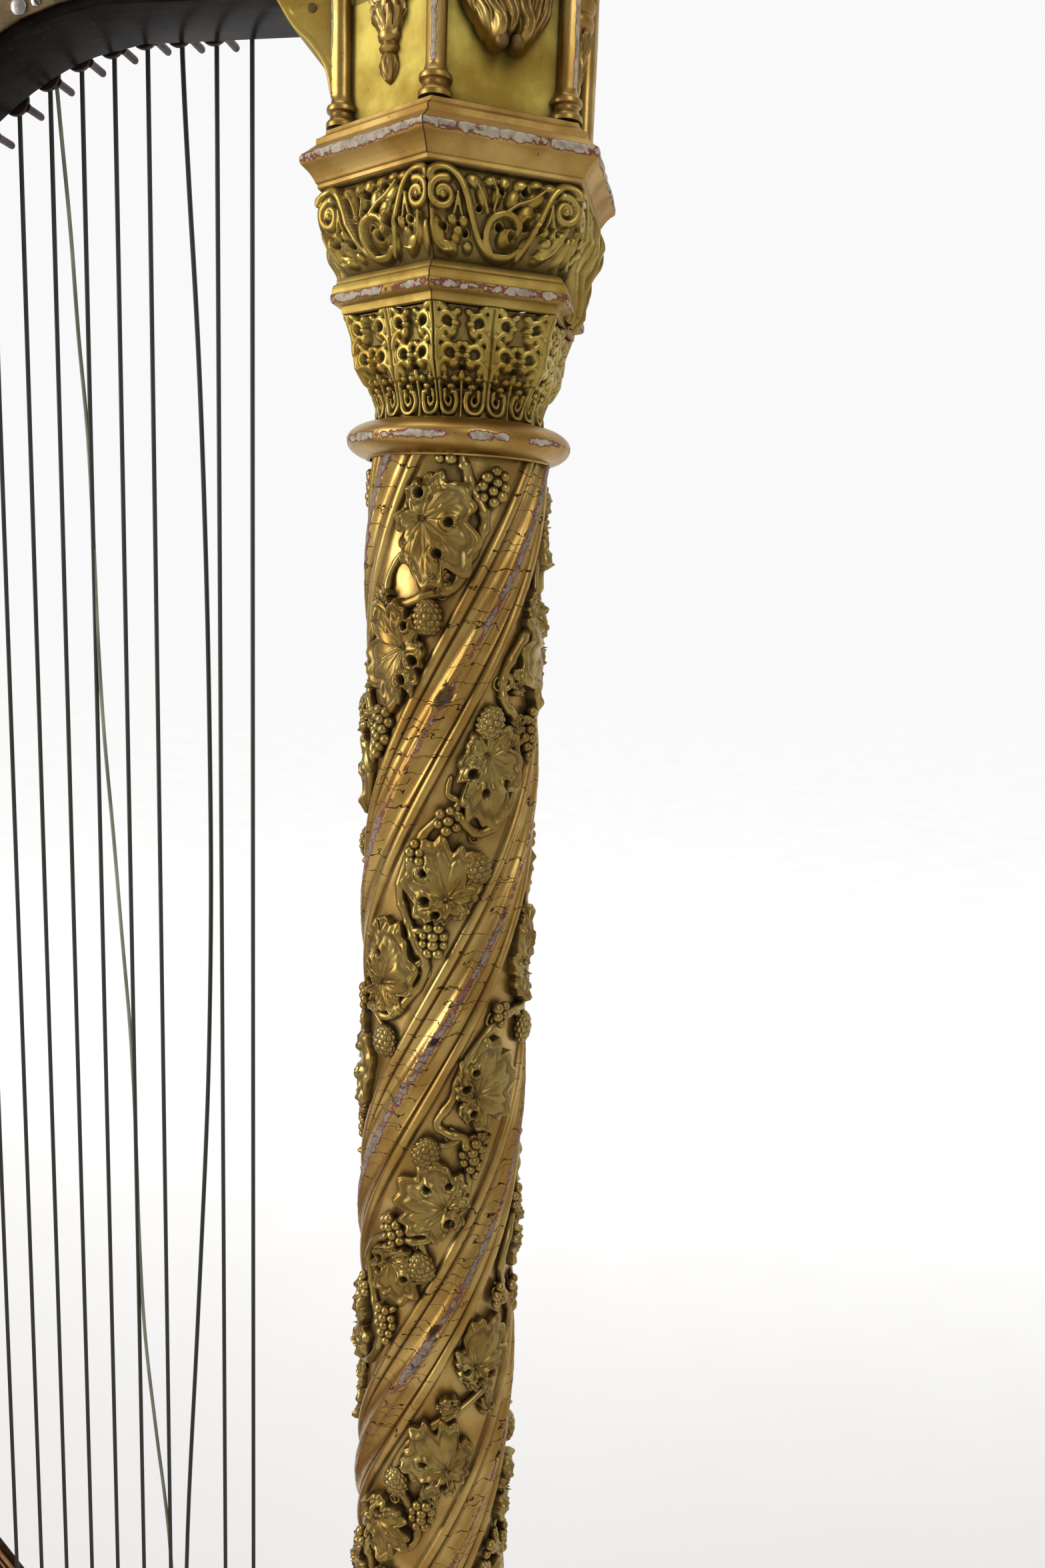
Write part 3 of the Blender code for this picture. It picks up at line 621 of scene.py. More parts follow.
def make_cornice(material):
    profile = ((56.5, 87.3, 0), (58.0, 87.5, 0.05), (59.4, 88.3, 0.12), (59.2, 89.6, 0), (60.0, 89.9, 0),
               (60.6, 91.0, 0.02), (62.0, 92.8, 0.05), (63.9, 94.6, 0.05), (65.5, 95.6, 0.30),
               (66.2, 96.4, 0.62), (66.5, 98.4, 0.82), (65.6, 99.4, 0.62), (64.0, 100.3, 0.10),
               (60.2, 103.2, 0.04), (59.9, 103.4, 0.0), (59.9, 105.6, 0.16), (58.7, 106.0, 0.0),
               (56.6, 107.4, 0.03), (56.2, 107.6, 0.0), (56.1, 109.6, 0.10), (45.0, 109.7, 0))
    clay = hexagon_moulding(Clay(), profile, chips=1.3, seed=31, per_side=60)
    open_mitre(clay, profile[3:-3])
    clay.piece("cornice_worn", material, "gilding", ["capital_cornice"], sharp=32)


# ---------------------------------------------------------------- the vine in the channels

VINE_LENGTH = 513.0
VINE_FOOT = SHAFT_FOOT + 12
CHANNEL_RADIUS = 36.5
LEAF_LOBES = np.radians((0, 50, 98, 150, -150, -98, -50))
LEAF_SINUSES = np.radians((25, 75, 125, 180, -125, -75, -25))

# Leaves: across the channel, height, half width, half length, where the tip points.
VINE_LEAVES = (
    (-0.5, -39, 17.0, 24.0, -30), (4.5, -88, 17.0, 22.5, 200), (-0.5, -137, 15.5, 23.0, -70),
    (2.0, -181, 17.5, 19.0, 110), (-1.0, -222, 15.5, 21.5, 60), (-1.0, -275, 16.0, 22.0, 20),
    (1.5, -328, 17.0, 20.0, 160), (5.5, -366, 14.0, 15.0, -60), (-5.0, -409, 14.5, 19.0, 45),
    (-1.0, -459, 17.5, 21.0, 130), (-3.5, -503, 14.0, 17.0, -20),
)
# Small rolled leaves and buds beside the stem: across, height, half width, half length, tip.
VINE_BUDS = (
    (11.0, -58, 5.0, 5.5, 40), (-13.0, -67, 6.0, 7.0, 200), (-8.0, -98, 5.0, 6.0, 120),
    (3.0, -116, 6.0, 4.6, 30), (-12.0, -206, 5.5, 6.0, 150), (9.0, -301, 6.0, 5.0, 80),
    (13.0, -437, 4.5, 7.5, 90), (-10.0, -432, 6.0, 5.0, 180), (8.0, -482, 5.0, 5.0, 0),
)
# Bunches of grapes: across, height, berries in each row from the stalk down, and the lean.
VINE_GRAPES = (
    (-13.0, -10, (1, 2), 0), (12.5, -21, (2, 3, 3, 2), -25), (15.0, -120, (2, 3, 2, 3, 2, 1), -12),
    (-9.0, -155, (2, 3, 2), 20), (13.0, -207, (2, 3, 3, 2), 0), (-15.0, -170, (1, 2, 2), 0),
    (9.5, -308, (2, 3, 3, 2, 1), 10), (-8.0, -346, (2, 3, 3, 2), 30), (14.0, -394, (2, 3, 3, 2, 1), 10),
    (-9.0, -384, (1, 2, 2), 0), (9.0, -490, (2, 3, 3, 2), 0), (-12.0, -243, (2, 2, 1), 0),
)
# Bramble cones: across, height, which way the point leans from straight up.
VINE_CONES = ((13.5, -72, 0), (-13.5, -114, -15), (14.0, -175, 10), (16.0, -256, 0), (-13.5, -304, -20),
              (14.5, -360, 15), (-12.5, -474, 0))
# Stems: places (across, height) along each, and its thickness at the start.
VINE_STEMS = (
    (1.9, ((-8, -5), (-6, -11), (-1, -16), (5, -23), (11, -28), (16, -34), (18, -42), (18, -52), (18, -60),
           (11, -63), (2, -67), (-6, -71), (-12, -77), (-16, -85), (-17, -94), (-14, -101), (-10, -107),
           (-2, -112), (3, -118), (8, -125), (13, -136), (17, -148), (15, -157), (8, -161), (1, -158),
           (-8, -152), (-15, -158), (-17, -168), (-16, -180), (-12, -190), (-5, -198), (1, -204),
           (7, -210), (14, -216), (18, -225), (16, -236), (12, -245), (0, -245), (-10, -247),
           (-17, -256), (-18, -268), (-15, -280), (-16, -291), (-8, -296), (0, -298), (5, -305),
           (12, -316), (17, -328), (16, -342), (8, -349), (-2, -350), (-12, -354), (-15, -366),
           (-9, -377), (-1, -386), (8, -394), (16, -404), (16, -418), (10, -428), (0, -434), (-9, -440),
           (-16, -450), (-18, -462), (-13, -476), (-3, -483), (4, -490), (12, -499), (14, -508), (6, -512),
           (-4, -514), (-8, -518))),
    (1.3, ((5, -23), (9, -19), (13, -14))), (1.2, ((-17, -94), (-11, -98), (-14, -102))),
    (1.3, ((-6, -71), (-12, -64), (-15, -55), (-13, -47))), (1.2, ((8, -125), (13, -121), (16, -115))),
    (1.3, ((-8, -152), (-9, -147), (-15, -144), (-18, -136))), (1.2, ((1, -204), (8, -203), (13, -200))),
    (1.2, ((14, -216), (10, -222), (8, -228))), (1.2, ((0, -245), (8, -249), (14, -252))),
    (1.2, ((0, -298), (-6, -301), (-11, -301))), (1.2, ((5, -305), (8, -301), (12, -299))),
    (1.2, ((-2, -350), (-6, -345), (-9, -340))), (1.2, ((8, -394), (12, -389), (15, -385))),
    (1.2, ((8, -349), (12, -353), (14, -356))), (1.1, ((-13, -476), (-14, -470), (-13, -466))),
    (1.2, ((4, -490), (8, -485), (12, -483))), (1.1, ((10, -428), (14, -434), (14, -442))),
)
# Curling tendrils: across, height, size, and which way they turn.
VINE_TENDRILS = ((14, -63, 3.0, 1), (-17, -99, 3.2, -1), (-12, -112, 3.2, 1), (7, -163, 2.6, -1),
                 (17, -222, 3.0, 1), (-14, -246, 3.6, -1), (-7, -297, 3.4, 1), (9, -352, 3.0, -1),
                 (-12, -381, 3.0, 1), (12, -430, 3.0, -1), (-8, -486, 3.2, 1))


def channel_angle(channel, across, height):
    return crest_angle(height) + RIB_PERIOD * (channel + 0.5) + np.degrees(across / CHANNEL_RADIUS)


def wrap_rigid(channel, across, height, x, y, lift):
    """Lays a flat shape, x across and y up, on the shaft about a place in a channel. Where it spreads
    over a bead or a rib it lies on that."""
    angle = channel_angle(channel, across, height) + np.degrees(x / CHANNEL_RADIUS)
    level = height + y
    under = shaft_radius(angle - crest_angle(level))
    radius = np.maximum(33.5 + lift, under - 0.4 + 0.32 * lift)
    return polar(radius, angle, level)


def wrap_flowing(channel, across, height, lift):
    """Places along the channel's own direction, for stems."""
    angle = channel_angle(channel, across, height)
    under = shaft_radius(angle - crest_angle(height))
    return polar(np.maximum(33.5, under - 0.7) + lift, angle, height)


def gap_to(angles, others):
    """The signed turn from each angle to its nearest in a set, and which one that is."""
    away = (angles[..., None] - others + math.pi) % (2 * math.pi) - math.pi
    nearest = np.abs(away).argmin(-1)
    return np.take_along_axis(away, nearest[..., None], -1)[..., 0], nearest


SINUS_DEPTHS = np.array((0.24, 0.30, 0.20, 0.42, 0.20, 0.30, 0.24))


def bump(away, width, power=2):
    """1 where a distance is nothing, and fading with it."""
    return np.exp(-(away / width) ** power)


def leaf(half_width, half_length, tip, seed, rise=4.4):
    """A vine leaf as a grid round the place where its stalk joins: broad lobes with scalloped, rolled
    rims, fine forked veins, drilled eyes with raised lips, and a knob on some lobes."""
    rng = np.random.default_rng(seed)
    tip = math.radians(tip)
    lobes = LEAF_LOBES + rng.uniform(-0.10, 0.10, 7)
    around = np.linspace(-math.pi, math.pi, 150, endpoint=False)
    share = np.concatenate((np.linspace(0, 0.82, 19), (0.85, 0.88, 0.905, 0.93, 0.955, 0.975, 0.99, 1, 1)))
    joint = -0.42 * np.array((math.cos(tip), math.sin(tip)))
    lean = np.stack((np.cos(around + tip), np.sin(around + tip)), -1) @ joint
    reach = -lean + np.sqrt(lean * lean - joint @ joint + 1)
    off, notch = gap_to(around, LEAF_SINUSES)
    depth = SINUS_DEPTHS[notch] * rng.uniform(0.6, 1.15, 7)[notch]
    scallop = 0.5 + 0.5 * np.cos(around * 17 + rng.uniform(0, 6))
    edge = reach * (1.03 - depth * bump(off, 0.13)) * (0.900 + 0.115 * scallop**0.8)
    r = np.outer(share, edge)
    curl = np.outer(share**2, 0.10 * np.sin(2 * around + rng.uniform(0, 6)))
    x = (joint[0] + r * np.cos(around + curl + tip)) * half_width
    y = (joint[1] + r * np.sin(around + curl + tip)) * half_length
    fine = np.clip((half_width + half_length) / 28.0, 0.40, 1.0)
    t = share[:, None]
    phases = rng.uniform(0, 6, 3)
    waves = 0.8 * np.sin(2 * around + phases[0]) + 0.5 * np.sin(5 * around + phases[1])
    from_vein, _ = gap_to(around, lobes)
    high = rise * (0.84 + 0.26 * np.sin(math.pi * np.minimum(t * 0.9, 1))) + t * waves
    high += 0.8 * np.sin(np.clip(from_vein * r * 2.6, 0, 1) * math.pi) * np.sin(math.pi * t) ** 0.7
    high -= 0.75 * fine * bump(t - 0.79, 0.05)
    high += 1.25 * fine * bump(t - 0.90, 0.060) * (0.15 + 0.85 * scallop)
    # Painted shade, with grime, in the groove inside the rolled rim, beside the veins and in the drilled
    # eyes.
    grime = np.broadcast_to(0.55 * bump(t - 0.79, 0.05), high.shape)
    wear = 0.14 * np.clip((high - rise) / rise, 0, 1)

    def place(angle, part):
        out = part * np.interp(angle, around, reach, period=2 * math.pi)
        return np.array(((joint[0] + out * math.cos(angle + tip)) * half_width,
                         (joint[1] + out * math.sin(angle + tip)) * half_length))

    for lobe in lobes[np.abs(lobes) < 2.6]:
        veins = [(place(lobe, 0.0), place(lobe, 0.80), 0.46)]
        for side in (-1, 1):
            veins.append((place(lobe, 0.42), place(lobe + side * 0.19, 0.74), 0.30))
        for start, end, width in veins:
            way = end - start
            along = np.clip(((x - start[0]) * way[0] + (y - start[1]) * way[1]) / (way @ way), 0, 1)
            away = np.hypot(x - start[0] - along * way[0], y - start[1] - along * way[1]) / fine
            strength = fine * width * (1 - 0.6 * along)
            high += strength * (1.3 * bump(away, 0.42) - 0.5 * bump(away - 1.0, 0.40))
            grime = np.maximum(grime, 0.7 * strength * bump(away - 0.95, 0.35))
    for n in [n for n in rng.permutation(7) if n != 3][:3 if fine > 0.9 else 2]:
        eye = place(LEAF_SINUSES[n], rng.uniform(0.47, 0.58))
        away = np.hypot(x - eye[0], y - eye[1])
        wide = fine * rng.uniform(1.05, 1.5)
        high += 1.7 * fine * bump(away - 2.0 * wide, 0.75 * wide)
        high -= 4.0 * fine * bump(away, wide, 2.4)
        grime = np.maximum(grime, 0.9 * bump(away, wide, 3))
    for n in rng.permutation(7)[:5]:
        middle = place(lobes[n], 0.86)
        knob = bump(np.hypot(x - middle[0], y - middle[1]), 2.3 * fine, 3)
        high += 1.7 * fine * knob
        wear = np.maximum(wear, 0.55 * knob * rng.uniform(0, 1))
    high[-2] -= 0.9
    high[-1] = -0.6
    # The tucked-under edge is fully darkened: painted shade under the rim.
    grime[-1] = 1.0
    faces = grid_faces(len(share), len(around), closed=True)
    return x.ravel(), y.ravel(), high.ravel(), faces, grime.ravel(), wear.ravel()


def leaned(x, y, degrees):
    c, s = math.cos(math.radians(degrees)), math.sin(math.radians(degrees))
    return x * c - y * s, x * s + y * c


def grape_bunch(rows, lean):
    """Berries in rows down from the stalk, each row set into the one above."""
    spots = []
    for n, berries in enumerate(rows):
        spots += [leaned((k - (berries - 1) / 2) * 4.3, -n * 3.75, lean) for k in range(berries)]
    return np.array(spots) - np.mean(spots, axis=0)


def studded_cone(lean):
    """An egg shape covered with studs in staggered rows; x across, y up, and lift."""
    rows, columns = 44, 66
    down = np.linspace(0.02, math.pi - 0.02, rows)[:, None]
    turn = np.arange(columns) * 2 * math.pi / columns
    level = down / math.pi * 9.0
    shift = np.where(np.floor(level) % 2 == 0, 0, math.pi / 11)
    stud = np.abs(np.sin(level * math.pi)) * np.abs(np.sin((turn + shift) * 5.5))
    swell = 1 + 0.20 * stud**0.7
    x = 5.5 * np.sin(down) ** 0.9 * np.cos(turn) * swell * (1 - 0.16 * np.cos(down))
    lift = 3.8 * np.sin(down) ** 0.9 * np.sin(turn) * swell + 3.0
    y = 7.6 * np.cos(down) * (1 - 0.05 * np.cos(down))
    x, y = leaned(x, y, lean)
    # Darker between the studs: painted shade in the hollows.
    grime = np.clip(0.85 - 2.2 * stud, 0, 1)
    return x.ravel(), y.ravel(), lift.ravel(), grid_faces(rows, columns, closed=True), grime.ravel()


def lay_leaves(clay, channel, turn, drop):
    for n, (across, height, wide, long, tip) in enumerate((*VINE_LEAVES, *VINE_BUDS)):
        if height + drop - long < VINE_FOOT:
            continue
        rise = 4.4 if n < len(VINE_LEAVES) else 3.4
        x, y, lift, faces, grime, wear = leaf(wide, long, tip, 100 * channel + 10 * n + turn, rise)
        shape = wrap_rigid(channel, across, height + drop, x, y, lift)
        clay.add(at_ring(shape), faces, grime=grime, wear=wear, tone=0.9)


def lay_grapes(clay, channel, drop):
    for across, height, rows, lean in VINE_GRAPES:
        if height + drop - 12 < VINE_FOOT:
            continue
        for n, (bx, by) in enumerate(grape_bunch(rows, lean)):
            size = 2.40 + 0.25 * math.sin(2.3 * n + height)
            berry, faces = ball(size)
            x, y, z = berry.T
            lift = 2.5 + 1.0 * math.cos(bx * 0.35) + z
            spot = wrap_rigid(channel, across, height + drop, bx + x, by + y, lift)
            # Each berry's half towards the shaft is darkened: painted shade behind it.
            clay.add(at_ring(spot), faces, tone=0.75, grime=np.clip(-z / size, 0, 1) * 0.9)


def lay_cones(clay, channel, drop):
    for across, height, lean in VINE_CONES:
        if height + drop - 8 < VINE_FOOT:
            continue
        x, y, lift, faces, grime = studded_cone(lean)
        shape = wrap_rigid(channel, across, height + drop, x, y, lift)
        clay.add(at_ring(shape), faces, tone=0.85, grime=grime)


def lay_stems(clay, channel, drop):
    """Knotted stems that thicken and thin, and rise and sink."""
    for thick, places in VINE_STEMS:
        path = flowing(places, 7)
        path = path[path[:, 1] + drop > VINE_FOOT]
        if len(path) < 4:
            continue
        step = np.arange(len(path))
        knots = 1.25 + 0.30 * np.sin(step * 0.45) ** 8
        line = wrap_flowing(channel, path[:, 0], path[:, 1] + drop, 1.5 + 0.6 * np.sin(step * 0.23))
        ends = np.interp(np.linspace(0, 1, len(path)), (0, 0.02, 0.97, 1), (0.6, 1, 0.8, 0.3))
        clay.add(*ringed(tube(line, thick * knots * ends, 9)), tone=0.8)


def lay_tendrils(clay, channel, drop):
    t = np.linspace(0, 1, 30)
    for across, height, size, way in VINE_TENDRILS:
        if height + drop - 10 < VINE_FOOT:
            continue
        spin = way * t * 2.6 * math.pi
        reach = size * (1 - 0.75 * t)
        x, y = reach * np.sin(spin), reach * np.cos(spin)
        line = wrap_rigid(channel, across, height + drop, x, y, 1.0 + 1.2 * t)
        clay.add(*ringed(tube(line, 0.75 * (1 - 0.3 * t), 7)), tone=0.8)


def make_vine(material):
    """One vine for each channel. Its pattern comes again further down the shaft."""
    for channel in range(3):
        clay = Clay()
        for turn in range(2):
            drop = -VINE_LENGTH * turn
            lay_leaves(clay, channel, turn, drop)
            lay_grapes(clay, channel, drop)
            lay_cones(clay, channel, drop)
            lay_stems(clay, channel, drop)
            lay_tendrils(clay, channel, drop)
        clay.piece(f"vine_{channel + 1}", material, "gilding", sharp=0)


# ---------------------------------------------------------------- carved reliefs


class Relief:
    """A carved panel: heights in millimetres over a grid of across and up. Shapes are laid on as the
    higher of what is there and what is added, and pits are drilled afterwards."""

    def __init__(self, half_width, height, step=0.36, mirrored=True):
        self.half_width, self.tall = half_width, height
        self.across = np.linspace(-half_width, half_width, 2 * round(half_width / step) + 1)
        self.up = np.linspace(0, height, round(height / step) + 1)
        x, self.y = np.meshgrid(self.across, self.up)
        self.x = np.abs(x) if mirrored else x
        self.h = np.zeros_like(self.x)
        self.grime = np.zeros_like(self.x)

    def distance(self, path):
        """To a path of points, and how far along it the nearest place is, from 0 to 1."""
        path = np.asarray(path, float)
        best = np.full(self.x.shape, 1e9)
        share = np.zeros_like(best)
        for n, (a, b) in enumerate(zip(path, path[1:])):
            ab = b - a
            t = ((self.x - a[0]) * ab[0] + (self.y - a[1]) * ab[1]) / (ab @ ab + 1e-12)
            t = np.clip(t, 0, 1)
            d = np.hypot(self.x - a[0] - t * ab[0], self.y - a[1] - t * ab[1])
            nearer = d < best
            best = np.where(nearer, d, best)
            share = np.where(nearer, (n + t) / (len(path) - 1), share)
        return best, share

    def bead(self, places, radius, base=1.0, taper=0.0, steps=8):
        """A raised rounded line through the places."""
        d, share = self.distance(flowing(places, steps) if steps else places)
        r = radius * (1 - taper * share)
        top = base + r * np.sqrt(np.clip(1 - (d / r) ** 2, 0, 1))
        self.h = np.where(d < r, np.maximum(self.h, top), self.h)

    def dome(self, x, y, rx, ry, height, turn=0.0):
        """A swelling with steep sides."""
        c, s = math.cos(math.radians(turn)), math.sin(math.radians(turn))
        u = ((self.x - x) * c + (self.y - y) * s) / rx
        v = ((self.y - y) * c - (self.x - x) * s) / ry
        d = np.hypot(u, v)
        self.h = np.maximum(self.h, height * np.clip(1 - d**2.6, 0, 1) ** 0.6)

    def pit(self, x, y, radius, depth=3.0, rim=0.9):
        """A drilled eye with a rolled rim."""
        d = np.hypot(self.x - x, self.y - y)
        self.h += rim * np.exp(-((d - 1.75 * radius) / (0.6 * radius)) ** 2)
        self.h -= depth * np.exp(-((d / radius) ** 3))
        # The drilled eye is darkened: painted shade.
        self.grime = np.maximum(self.grime, np.exp(-((d / (0.95 * radius)) ** 4)))

    def groove(self, places, width, depth, steps=8):
        d, _ = self.distance(flowing(places, steps) if steps else places)
        self.h -= depth * np.exp(-((d / width) ** 2))
        # The groove is darkened: painted shade.
        self.grime = np.maximum(self.grime, 0.6 * np.exp(-((d / width) ** 2)))

    def volute(self, x, y, outer, inner, turns, start, radius, way=1):
        """A spiral bead that ends in a ball."""
        base = 1.2
        t = np.linspace(0, 1, 60)
        angle = math.radians(start) + way * t * turns * 2 * math.pi
        reach = outer + (inner - outer) * t**0.8
        self.bead(np.stack((x + reach * np.cos(angle), y + reach * np.sin(angle)), -1), radius, base, 0.35, 0)
        self.dome(x, y, inner * 0.95, inner * 0.95, base + radius)

    def hoop(self, x, y, reach, radius, base, count=24):
        """A round bead about a place."""
        turn = np.linspace(0, 2 * math.pi, count)
        self.bead(np.stack((x + reach * np.cos(turn), y + reach * np.sin(turn)), -1), radius, base, 0, 0)

    def berries(self, x, y, size):
        """Three berries, two above one."""
        for dx, dy in ((-1.05, 0.55), (1.05, 0.55), (0.0, -1.1)):
            d = np.hypot(self.x - x - dx * size, self.y - y - dy * size) / size
            top = 1.2 + size * 1.25 * np.sqrt(np.clip(1 - d**2, 0, 1))
            self.h = np.where(d < 1, np.maximum(self.h, top), self.h)

    def settled(self):
        """Heights, with the ground's hollows darkened as grime and painted shade."""
        ground = np.clip((1.05 - self.h) / 1.4, 0, 1) * 0.75
        return self.h, np.maximum(self.grime, ground)


OPEN_MITRE = -90


def open_mitre(clay, profile):
    """The dark gap where the mouldings' mitre has opened at one corner: a dark tube put in as painted shade.
    """
    path = [polar(r - 0.05, OPEN_MITRE, z) for r, z, _ in eased(profile)]
    clay.add(*ringed(tube(path, 0.26, 6)), grime=1.0)


def wrap_faces(clay, relief, radius_of, lift_from, copies=1, tone=0.6, wear=0.0, squareness=None,
               mitre=True):
    """Repeats a relief round a hexagonal prism whose corner radius changes with height. Each side
    holds the relief once, or several times side by side."""
    heights, grime = relief.settled()
    side = np.concatenate([np.linspace(0, 1, len(relief.across))[:-1] + n for n in range(copies)]) / copies
    index = np.tile(np.arange(len(relief.across) - 1), copies)
    level = lift_from + relief.up
    radius = radius_of(level)
    rows, marks, dirt_and_shade = [], [], []
    for k in range(6):
        a, b = (-30 + 60 * (k + n) for n in (0, 1))
        edge = side if a == OPEN_MITRE % 360 else 1 - side if b == OPEN_MITRE % 360 else side + 1
        gap = np.exp(-(edge / 0.006) ** 2) if mitre else 0 * side
        h = heights[:, index] - 1.3 * gap
        marks.append(h)
        # The mitre's groove and the relief's hollows are darkened: painted shade with grime.
        dirt_and_shade.append(np.maximum(grime[:, index], gap))
        corner = [np.array((math.cos(math.radians(v)), math.sin(math.radians(v)))) for v in (a, b)]
        flat = corner[0] + side[:, None] * (corner[1] - corner[0])
        angle = np.arctan2(flat[:, 1], flat[:, 0])
        round_shape = np.stack((np.cos(angle), np.sin(angle)), -1) * 0.93
        square = np.ones(len(level)) if squareness is None else squareness(level)
        plan = square[:, None, None] * flat + (1 - square[:, None, None]) * round_shape
        reach = np.linalg.norm(plan, axis=-1, keepdims=True)
        plan = plan * radius[:, None, None] * (1 + h[..., None] / (radius[:, None, None] * reach))
        rows.append(np.concatenate((plan, np.broadcast_to(level[:, None, None], (*h.shape, 1))), -1))
    points = np.concatenate(rows, axis=1)
    grime = np.concatenate(dirt_and_shade, axis=1)
    mark = np.concatenate(marks, axis=1)
    count = points.shape[1]
    clay.add(at_ring(points.reshape(-1, 3)), grid_faces(len(level), count, closed=True), grime=grime.ravel(),
             wear=(wear * np.clip(mark / 3.5, 0, 1)).ravel(), tone=tone)
    return clay


def bell_relief():
    """Half a side of the bell: lobes curl round two drilled eyes, over a palmette between scroll loops."""
    r = Relief(9.9, 38.5, 0.30)
    for x, y, wide in ((5.4, 32.8, 2.5), (4.5, 22.0, 2.8)):
        turn = np.radians(np.arange(-80, 200, 20))
        curl = np.stack((x + wide * np.cos(turn), y + wide * np.sin(turn)), -1)
        r.bead(curl, 1.6, 1.5, 0.25, 0)
        r.dome(x - wide - 0.2, y - 0.6, 1.9, 1.7, 3.5)
        r.dome(x - 1.6, y - 3.4, 2.0, 2.6, 3.0, 30)
        r.dome(x - 3.2, y + 3.2, 2.2, 1.5, 2.8, -40)
        r.dome(x + 1.6, y + 4.6, 2.8, 1.7, 2.9, 35)
        r.dome(7.4, y - 5.2, 2.0, 3.0, 2.7, -30)
        r.bead(((9.4, y - 8.4), (8.6, y - 5.2), (6.6, y - 3.0), (4.8, y - 2.8)), 1.2, 2.3, 0.2)
        r.pit(x, y, 1.15, 3.4, 0.2)
    r.bead(((9.5, 38), (9.3, 26), (9.2, 14)), 1.35, 1.7)
    r.bead(((9.2, 15), (9.2, 6), (7.8, 2.0), (5.4, 0.9), (3.0, 1.9), (1.9, 5.2), (2.4, 8.4)), 1.05, 1.6)
    r.bead(((6.9, 9.2), (7.0, 5.8), (5.6, 3.9), (4.4, 4.8), (4.6, 6.6)), 0.95, 1.4, 0.2)
    for x, y, rx, ry in ((0, 14.4, 1.5, 2.5), (2.7, 13.4, 1.8, 1.6), (4.3, 10.6, 1.9, 1.5),
                         (6.6, 13.4, 1.6, 1.5), (3.4, 8.6, 1.5, 1.2)):
        r.dome(x, y, rx, ry, 2.8)
    r.bead(((0, 0), (0, 6), (0, 12)), 0.6, 1.4)
    for x, y in ((5.6, 6.0), (1.5, 11.2), (7.6, 10.6), (0.6, 17.6)):
        r.pit(x, y, 0.8, 2.2, 0.3)
    r.groove(((9.9, 38), (9.9, 20), (9.9, 3)), 0.30, 1.0, 0)
    return r


